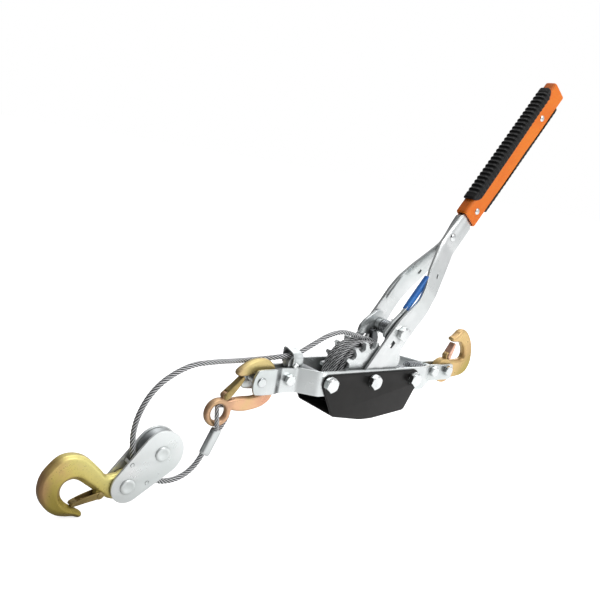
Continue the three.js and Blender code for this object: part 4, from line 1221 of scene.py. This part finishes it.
hold_coil = helix(BOLT_X, 0, 9.3, -13, 13, turns=7, steps=7 * COIL_STEPS)
piece("holding_spring_coil", [tube(hold_coil, 1.05, 10), tube(pull, 1.05, 10)],
      "spring", "holding_pawl_spring", sharp=70)

# ============================================================ rope, ferrule
# rope centre line from the drum, over the guide, round the sheave to the ferrule, (x, y, z)
ROPE_LEAD = [
    (3, 0, 46.6), (-14.8, 0, 51.5), (-36.2, 0, 55.1), (-57.1, 0, 51.4), (-79.7, 0, 41),
    (-93.6, 0.5, 33.3), (-104, 1, 27.9), (-112, 1.5, 26.2), (-122, 2.7, 24.9),
    (-130, 4.4, 23.6)]
ROPE_SPAN = [
    (-138, 6.4, 22.3), (-150, 9.0, 20.6), (-172, 9.0, 19.6), (-192, 6, 20),
    (-212, 1.5, 21.4), (-233, 0, 21), (-248, 0, 19.3), (-261, 0, 15), (-273.5, 0, 8.8),
    (-285.5, 0, 0.4), (-296.5, 0, -11.6), (-304.6, 0, -26), (-309.5, 0, -41.5),
    (-311, 0, -56), (-309.8, 0, -69), (-307.6, 0, -81), (-302.4, 0, -94.2),
    (-290.4, 0, -104.1), (-279.6, 0, -111.2), (-268, 0, -115.6), (-251.5, 0, -115.4),
    (-238, 0, -110.5), (-227.8, 0, -102), (-221.9, 0, -93.4), (-219.3, 0, -88.4),
    (-216.4, 0, -81.6)]
# loop through the front hook's eye, both ends in the ferrule
EYE_LOOP = [
    (-204.4, 0, -66.5), (-202.0, 0.4, -62.0), (-196.4, 3.6, -58.8), (-190.0, 7.6, -53.6),
    (-186.4, 9.2, -47.4), (-187.6, 9.4, -40.4), (-194.6, 9.2, -35.4), (-202.6, 6.6, -34.0),
    (-207.6, 1.8, -31.8), (-211.4, -3.2, -32.2), (-213.6, -7.4, -36.0), (-213.4, -8.6, -42.6),
    (-211.8, -8.2, -49.6), (-209.8, -6.2, -55.0), (-208.0, -2.6, -59.4), (-208.2, -0.4, -64.5)]
pull_rope = rope_piece("pull_rope", [resample(ROPE_LEAD + ROPE_SPAN, 1.25)],
                       "cable_lead", "cable_span", radius=3.2, pitch=27.0, body="")
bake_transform(pull_rope)


def link_axes(start, end):
    """Start, unit vector toward the end, unit vector across it in xz, and length."""
    start, end = np.array(start, float), np.array(end, float)
    length = np.linalg.norm(end - start)
    ahead = (end - start) / length
    return start, ahead, np.array([-ahead[1], ahead[0]]), length


FERRULE_ENDS = ((-217.5, -89.8), (-204.8, -59.4))       # (x, z)


def ferrule_field(x, y, z):
    start, axis, _, length = link_axes(*FERRULE_ENDS)
    along = (x - start[0]) * axis[0] + (z - start[1]) * axis[1]
    across = -(x - start[0]) * axis[1] + (z - start[1]) * axis[0]
    taper = (0.9 * np.clip((3.5 - along) / 3.5, 0, 1) ** 2
             + 0.7 * np.clip((along - length + 3.5) / 3.5, 0, 1) ** 2)
    oval = superellipse(np.abs(across / (6.7 - taper)), np.abs(y / (4.7 - taper)), 2.4)
    field = smax(oval * 5.0, np.maximum(-along, along - length), 0.8)
    bore = distance(across, y, (2.1, 0)) - 3.15
    return smax(field, -np.maximum(bore, along - 7.0), 0.4)


piece("ferrule_sleeve", [surface(ferrule_field, (-227, -5.4, -93.5), (-199, 5.4, -56), 0.4)],
      "zinc", "cable_ferrule", sharp=60)
rope_piece("eye_loop", [resample(EYE_LOOP, 1.0)], radius=2.75, pitch=25.0, body="rigging")

# ===================================================================== hooks
# outlines are (x, z)
LATCH_BORE = 2.0
FRONT_EYE = (-208.4, -38.6)
FRONT_LATCH = (-200.5, -19.3)
FRONT_HOOK = [
    (-196, -32), (-190.5, -36.8), (-176, -39.6), (-160, -38.2), (-146.4, -34.2),
    (-136.2, -25.2), (-134.2, -12), (-133.4, 0), (-135.4, 10.6), (-141, 18.4), (-150, 23.4),
    (-160, 24.6), (-171, 22.8), (-180.4, 18.4), (-187.6, 13.6), (-190.6, 10.2),
    (-190.4, 6.4), (-186, 3.6), (-178, 3.6), (-168, 6.0), (-157, 6.0), (-150, 1.6),
    (-147.4, -5.4), (-149.0, -13.6), (-154.4, -19), (-163.5, -21.6), (-177, -21.6),
    (-190, -22.6), (-198, -25)]


def front_hook_field(x, y, z):
    body = round_plate(polygon_distance(x, z, spline(FRONT_HOOK, 6)), y, half=4.8, edge=4.2)
    from_eye = distance(x, z, FRONT_EYE)
    ring = superellipse(np.abs((from_eye - 13.55) / 3.8), np.abs(y / 4.4))
    field = smin(body, ring * 3.6, 2.2)
    field = smin(field, disc(x, y, z, FRONT_LATCH, 4.8, 3.5), 1.2)
    field = smax(field, 9.8 - from_eye, 0.8)
    return drilled(field, x, z, FRONT_LATCH, LATCH_BORE)


piece("hook_front", [surface(front_hook_field, (-226, -5, -56), (-133, 5, 25.5), 0.6)],
      "gold_front", "cable_end_hook", sharp=70)

BLOCK_PIN = (-314, -111.5)
BLOCK_LATCH = (-342, -119)
BLOCK_HOOK = [
    (-318, -98.5), (-326, -98.0), (-336.5, -98.4), (-343, -91.8), (-350.6, -84.2),
    (-358, -77.6), (-365.8, -72.8), (-377.2, -70.0), (-388.6, -72), (-398.4, -80.2),
    (-406, -91), (-408.6, -105), (-405.6, -117), (-398.2, -127.2), (-388, -134.9),
    (-377.6, -138.2), (-368.6, -139.4), (-363.4, -141), (-359.8, -139.8), (-359.6, -136.6),
    (-363, -133.4), (-368, -130), (-373.8, -126.6), (-379.8, -121.6), (-384, -114.8),
    (-384.6, -107.4), (-381.2, -101.2), (-374.2, -98.4), (-367.6, -100), (-357.6, -107),
    (-347.8, -114.2), (-340, -118.4), (-334, -123.8), (-326, -126.6), (-316, -126.8)]


def block_hook_field(x, y, z):
    """Chamfered bar that thickens toward -x, its chamfer narrowing away from the throat."""
    edge = polygon_distance(x, z, spline(BLOCK_HOOK, 6))
    half = 5.7 + 1.3 * np.clip((-332.0 - x) / 18.0, 0, 1)
    chamfer = 5.6 - 2.6 * np.clip((distance(x, z, (-371, -112)) - 22) / 9, 0, 1)
    body = smax(smax(edge, np.abs(y) - half, 1.0),
                (edge + np.abs(y) - half + chamfer) * 0.7071, 1.0)
    field = smin(body, disc(x, y, z, BLOCK_PIN, 15.3, 5.6), 1.4)
    field = smin(field, disc(x, y, z, BLOCK_LATCH, 5.6, 3.9), 1.2)
    field = drilled(field, x, z, BLOCK_PIN, 6.4)
    return drilled(field, x, z, BLOCK_LATCH, LATCH_BORE)


piece("hook_large", [surface(block_hook_field, (-410, -7.2, -143), (-297, 7.2, -69), 0.65)],
      "gold", "block_hook", sharp=70)

REAR_LATCH = (179, 18.5)
REAR_HOOK = [
    (172, 13), (182, 12.4), (192, 12.6), (203, 12.8), (209.4, 14.4), (212.0, 19.4),
    (209.8, 28.0), (202.4, 36.8), (195.6, 39.2), (188, 39.4), (182.6, 40), (178.8, 42.6),
    (179.2, 46), (183.6, 48.4), (188.6, 52), (193.6, 56.6), (200, 58.6), (206.8, 57.0),
    (213.4, 52.4), (223.8, 39.2), (229.4, 23.6), (230.4, 8), (224.6, -4.8), (215.4, -11),
    (204, -13.4), (193, -14.6), (182, -16.6), (172, -18)]


def rear_hook_field(x, y, z):
    body = round_plate(polygon_distance(x, z, spline(REAR_HOOK, 6)), y, half=6.0, edge=4.6)
    field = smin(body, disc(x, y, z, (HOOK_TAIL_X, -2.6), 17.4, 5.9), 1.4)
    field = smin(field, disc(x, y, z, REAR_LATCH, 5.6, 4.2), 1.5)
    field = drilled(field, x, z, (HOOK_TAIL_X, 0), 4.5)
    return drilled(field, x, z, REAR_LATCH, LATCH_BORE)


piece("hook_rear", [surface(rear_hook_field, (154, -6.2, -21), (232, 6.2, 60), 0.62)],
      "gold_rear", "rear_hook", sharp=70)

# latches: sheet channels on their rivets, with a torsion spring round each rivet
LATCH_SHEET = 1.25
# name, stem of the CAD names, pivot, tip, inner half width, depth, material
LATCHES = (
    ("front", "cable", FRONT_LATCH, (-178.2, 0.9), 3.7, 8.6, "gold_olive"),
    ("block", "block", BLOCK_LATCH, (-373.4, -124.2), 4.4, 7.8, "gold_olive"),
    ("rear", "rear", REAR_LATCH, (189.4, 36.6), 4.4, 7.6, "gold_pink"))


def latch_mesh(pivot, tip, half, depth):
    pivot, ahead, across, length = link_axes(pivot, tip)

    def field(x, y, z):
        """x runs from pivot to tip."""
        outline = spline([
            (-depth * 0.5, 0), (-depth * 0.3, depth * 0.44), (depth * 0.6, depth * 0.5),
            (length * 0.5, depth * 0.5), (length * 0.94, depth * 0.5), (length, depth * 0.36),
            (length * 0.97, depth * 0.1), (length * 0.8, -depth * 0.12),
            (length * 0.4, -depth * 0.4), (0, -depth * 0.5), (-depth * 0.36, -depth * 0.36)], 5)
        taper = np.clip(x / length, 0, 1) * 0.5
        solid = round_corner(polygon_distance(x, z, outline) + 0.8,
                             np.abs(y) - (half + LATCH_SHEET - taper - 0.8), 0.8)
        between = np.abs(y) - (half - taper)
        channel = reduce(np.maximum,
                         [x - length * 0.78, z - (depth * 0.5 - LATCH_SHEET), between])
        shape = smax(solid, -channel, 0.3)
        # the web starts a little way up from the rivet
        notch = reduce(np.maximum, [x - depth * 0.55,
                                    -(z - (depth * 0.5 - LATCH_SHEET - 0.3)), between])
        return drilled(smax(shape, -notch, 0.3), x, z, (0, 0), LATCH_BORE)

    outer, reach = half + LATCH_SHEET + 0.2, depth * 0.6
    verts, faces = surface(field, (-reach, -outer, -reach), (length + 0.6, outer, reach), 0.36)
    x, y, z = verts.T
    return np.stack([pivot[0] + x * ahead[0] + z * across[0], y,
                     pivot[1] + x * ahead[1] + z * across[1]], 1), faces


for name, stem, pivot, tip, half, depth, material in LATCHES:
    piece(f"latch_{name}", [latch_mesh(pivot, tip, half, depth)], material,
          f"{stem}_hook_latch", sharp=60)
    outer = half + LATCH_SHEET
    rivet_half = [(0, -outer - 1.4), (1.8, -outer - 1.3), (3.0, -outer - 0.8),
                  (3.3, -outer - 0.3), (1.75, -outer - 0.25)]
    piece(f"{stem}_latch_rivet_head", [lathe(*pivot, mirrored(rivet_half), 32)],
          material, f"{stem}_latch_rivet")
for name, stem, pivot, tip, half, _, _ in LATCHES:
    start, ahead, across, length = link_axes(pivot, tip)
    leg = start + ahead * length * 0.62 + across * 1.2
    y0 = -half + 0.6
    coil = helix(*start, 2.6, y0, y0 + 1.6, turns=2, steps=50,
                 start=math.atan2(ahead[1], ahead[0]) + math.pi / 2)
    path = np.concatenate([[(leg[0], -half + 1.0, leg[1])], coil])
    piece(f"{name}_latch_spring", [tube(path, 0.42, 8)], "spring",
          body=f"{stem}_hook_latch", sharp=80)

# ============================================================== pulley block
SHEAVE = (-277, -78.4)
SHEAVE_END, HOOK_END = 26.4, 18.8       # radii of the cheek plates' two ends
KEEPERS = (("lower", (-291.2, -110.2)), ("upper", (-311.7, -87.2)))
span_x, span_z = BLOCK_PIN[0] - SHEAVE[0], BLOCK_PIN[1] - SHEAVE[1]
lean = math.degrees(math.atan2(span_z, span_x))
wrap = math.degrees(math.acos((SHEAVE_END - HOOK_END) / math.hypot(span_x, span_z)))
cheek = (arc(*SHEAVE, SHEAVE_END, lean + wrap, lean + 360 - wrap, 64)
         + arc(*BLOCK_PIN, HOOK_END, lean - wrap, lean + wrap, 32))
cheek_holes = [circle(*SHEAVE, 6.3), circle(*BLOCK_PIN, 6.3)]
cheek_holes += [circle(*center, 2.2, 20) for _, center in KEEPERS]
for side, y0, y1 in (("near", -9.2, -6.4), ("far", 6.4, 9.2)):
    piece(f"{side}_cheek", [plate(cheek, cheek_holes, y0, y1, bevel=0.6, steps=3)],
          "zinc_block", f"{side}_block_plate", sharp=30)
# lathe profiles, (radius, y)
KEEPER_HALF = [(0, -9.0), (1.0, -9.05), (1.9, -9.5), (2.0, -9.2)]
SHEAVE_PROFILE = [(6.4, -5.9), (25, -5.9), (25, -4.9), (21.4, -2.3), (20.6, 0), (21.4, 2.3),
                  (25, 4.9), (25, 5.9), (6.4, 5.9)]
BLOCK_PIN_HALF = [(0, -10.6), (4.4, -10.65), (5.4, -11.15), (7.0, -11.1), (8.2, -10.6),
                  (8.6, -9.9), (8.6, -9.45), (6.0, -9.3)]
for place, center in KEEPERS:
    piece(f"{place}_keeper_pin_end", [lathe(*center, mirrored(KEEPER_HALF), 24)],
          "zinc_block", f"{place}_keeper_pin")
piece("sheave_wheel", [lathe(*SHEAVE, soft(SHEAVE_PROFILE, 0.4), 72, closed=True)],
      "zinc_dull", "sheave")
for name, center in (("sheave_pin", SHEAVE), ("block_hook_pin", BLOCK_PIN)):
    piece(f"{name}_head", [lathe(*center, mirrored(BLOCK_PIN_HALF), 56)],
          "zinc_block", name, sharp=40)


# ============================================================ floor and light
def floor_material():
    """Near white to the camera; to other rays dark on one side and glowing on the other."""
    look = Surface("floor_white")
    look.set(Roughness=0.9, Emission_Color=(1, 1, 1, 1))
    seen = look.camera_ray()
    bright_side = look.along((0.8, -0.6, 0.0), span=(-0.50, 0.15), to=(0.0, 1.0))
    pale = look.ramp(look.noise(scale=3, detail=2),
                     [(0.3, (0.90, 0.90, 0.905)), (0.7, (0.92, 0.92, 0.92))])
    unseen_color = look.mix(bright_side, under=(0.16, 0.16, 0.16), over=(0.80, 0.80, 0.80))
    look.set(Base_Color=look.mix(seen, unseen_color, pale))
    glow_gain, glow_base, seen_glow = 0.50, 0.03, 0.72      # emission strengths
    glow = look.math("ADD", look.math("MULTIPLY", bright_side, glow_gain), glow_base)
    unseen = look.math("SUBTRACT", 1.0, seen)
    look.set(Emission_Strength=look.math("ADD", look.math("MULTIPLY", glow, unseen),
                                         look.math("MULTIPLY", seen, seen_glow)))
    return look.material


FLOOR_HALF = 30.0
floor_z = START_BOX[0][2] - 0.0005
floor_look = floor_material()
floor_mesh = bpy.data.meshes.new("floor")
floor_mesh.from_pydata([(x * FLOOR_HALF, y * FLOOR_HALF, floor_z)
                        for x, y in ((-1, -1), (1, -1), (1, 1), (-1, 1))], [], [(0, 1, 2, 3)])
floor_mesh.materials.append(floor_look)
floor = bpy.data.objects.new("floor", floor_mesh)
bpy.context.scene.collection.objects.link(floor)

# the world is white to the camera and lights the scene with a gradient along SKY_DIRECTION
SKY_DIRECTION = (0.76, -0.10, 0.64)
SKY_STOPS = [(0.0, 0.04), (0.44, 0.11), (0.60, 0.38), (0.76, 0.86), (1.0, 1.0)]
world = bpy.data.worlds.new("studio")
bpy.context.scene.world = world
world.use_nodes = True
sky = Graph(world.node_tree)
height = sky.dot(sky.node("TexCoord").outputs["Generated"], SKY_DIRECTION)
gradient = sky.ramp(sky.remap(height, span=(-1, 1), to=(0, 1)),
                    [(position, (grey, grey, grey * 1.01)) for position, grey in SKY_STOPS])
lighting = sky.node("Background", {"Color": gradient, "Strength": 0.75})
backdrop = sky.node("Background", {"Color": (1, 1, 1, 1), "Strength": 1.0})
mixed = sky.node("MixShader", {0: sky.camera_ray(), 1: lighting.outputs[0],
                               2: backdrop.outputs[0]})
sky.node("OutputWorld", {0: mixed.outputs[0]})


def area(name, location, size, power, size_y=None):
    """Area light aimed at the middle of the product, 0.1 m up."""
    light = bpy.data.lights.new(name, "AREA")
    light.energy = power
    light.size = size
    if size_y:
        light.shape = "RECTANGLE"
        light.size_y = size_y
    item = bpy.data.objects.new(name, light)
    bpy.context.scene.collection.objects.link(item)
    item.location = location
    target = (-0.05 if name == "key" else 0, 0, 0.1)
    aim = Vector(target) - Vector(location)
    item.rotation_euler = aim.to_track_quat("-Z", "Y").to_euler()


area("key", (0.5, -1.9, 1.5), size=1.2, power=14)
area("top", (0.3, 0.1, 2.1), size=1.6, power=11)
area("rear", (1.6, 1.2, 1.0), size=0.8, power=4, size_y=1.2)

# camera: unit vectors to its right, up and backward, then its place in metres
VIEW_RIGHT = (0.77001809, -0.61350906, 0.17515358)
VIEW_UP = (-0.02070293, 0.25035529, 0.96793265)
VIEW_BACK = (-0.63768608, -0.74895184, 0.18007667)
VIEW_PLACE = (-0.69163, -0.67642, 0.31018)
lens = bpy.data.cameras.new("view")
lens.lens = 45.579
lens.sensor_width = 36.0
lens.clip_start = 0.01
lens.clip_end = 100
camera = bpy.data.objects.new("view", lens)
bpy.context.scene.collection.objects.link(camera)
pose = Matrix((VIEW_RIGHT, VIEW_UP, VIEW_BACK)).transposed().to_4x4()
pose.translation = VIEW_PLACE
camera.matrix_world = pose
bpy.context.scene.camera = camera
bpy.context.scene.view_settings.view_transform = "Standard"
bpy.context.scene.view_settings.look = "None"
bpy.context.scene.view_settings.exposure = 0.0
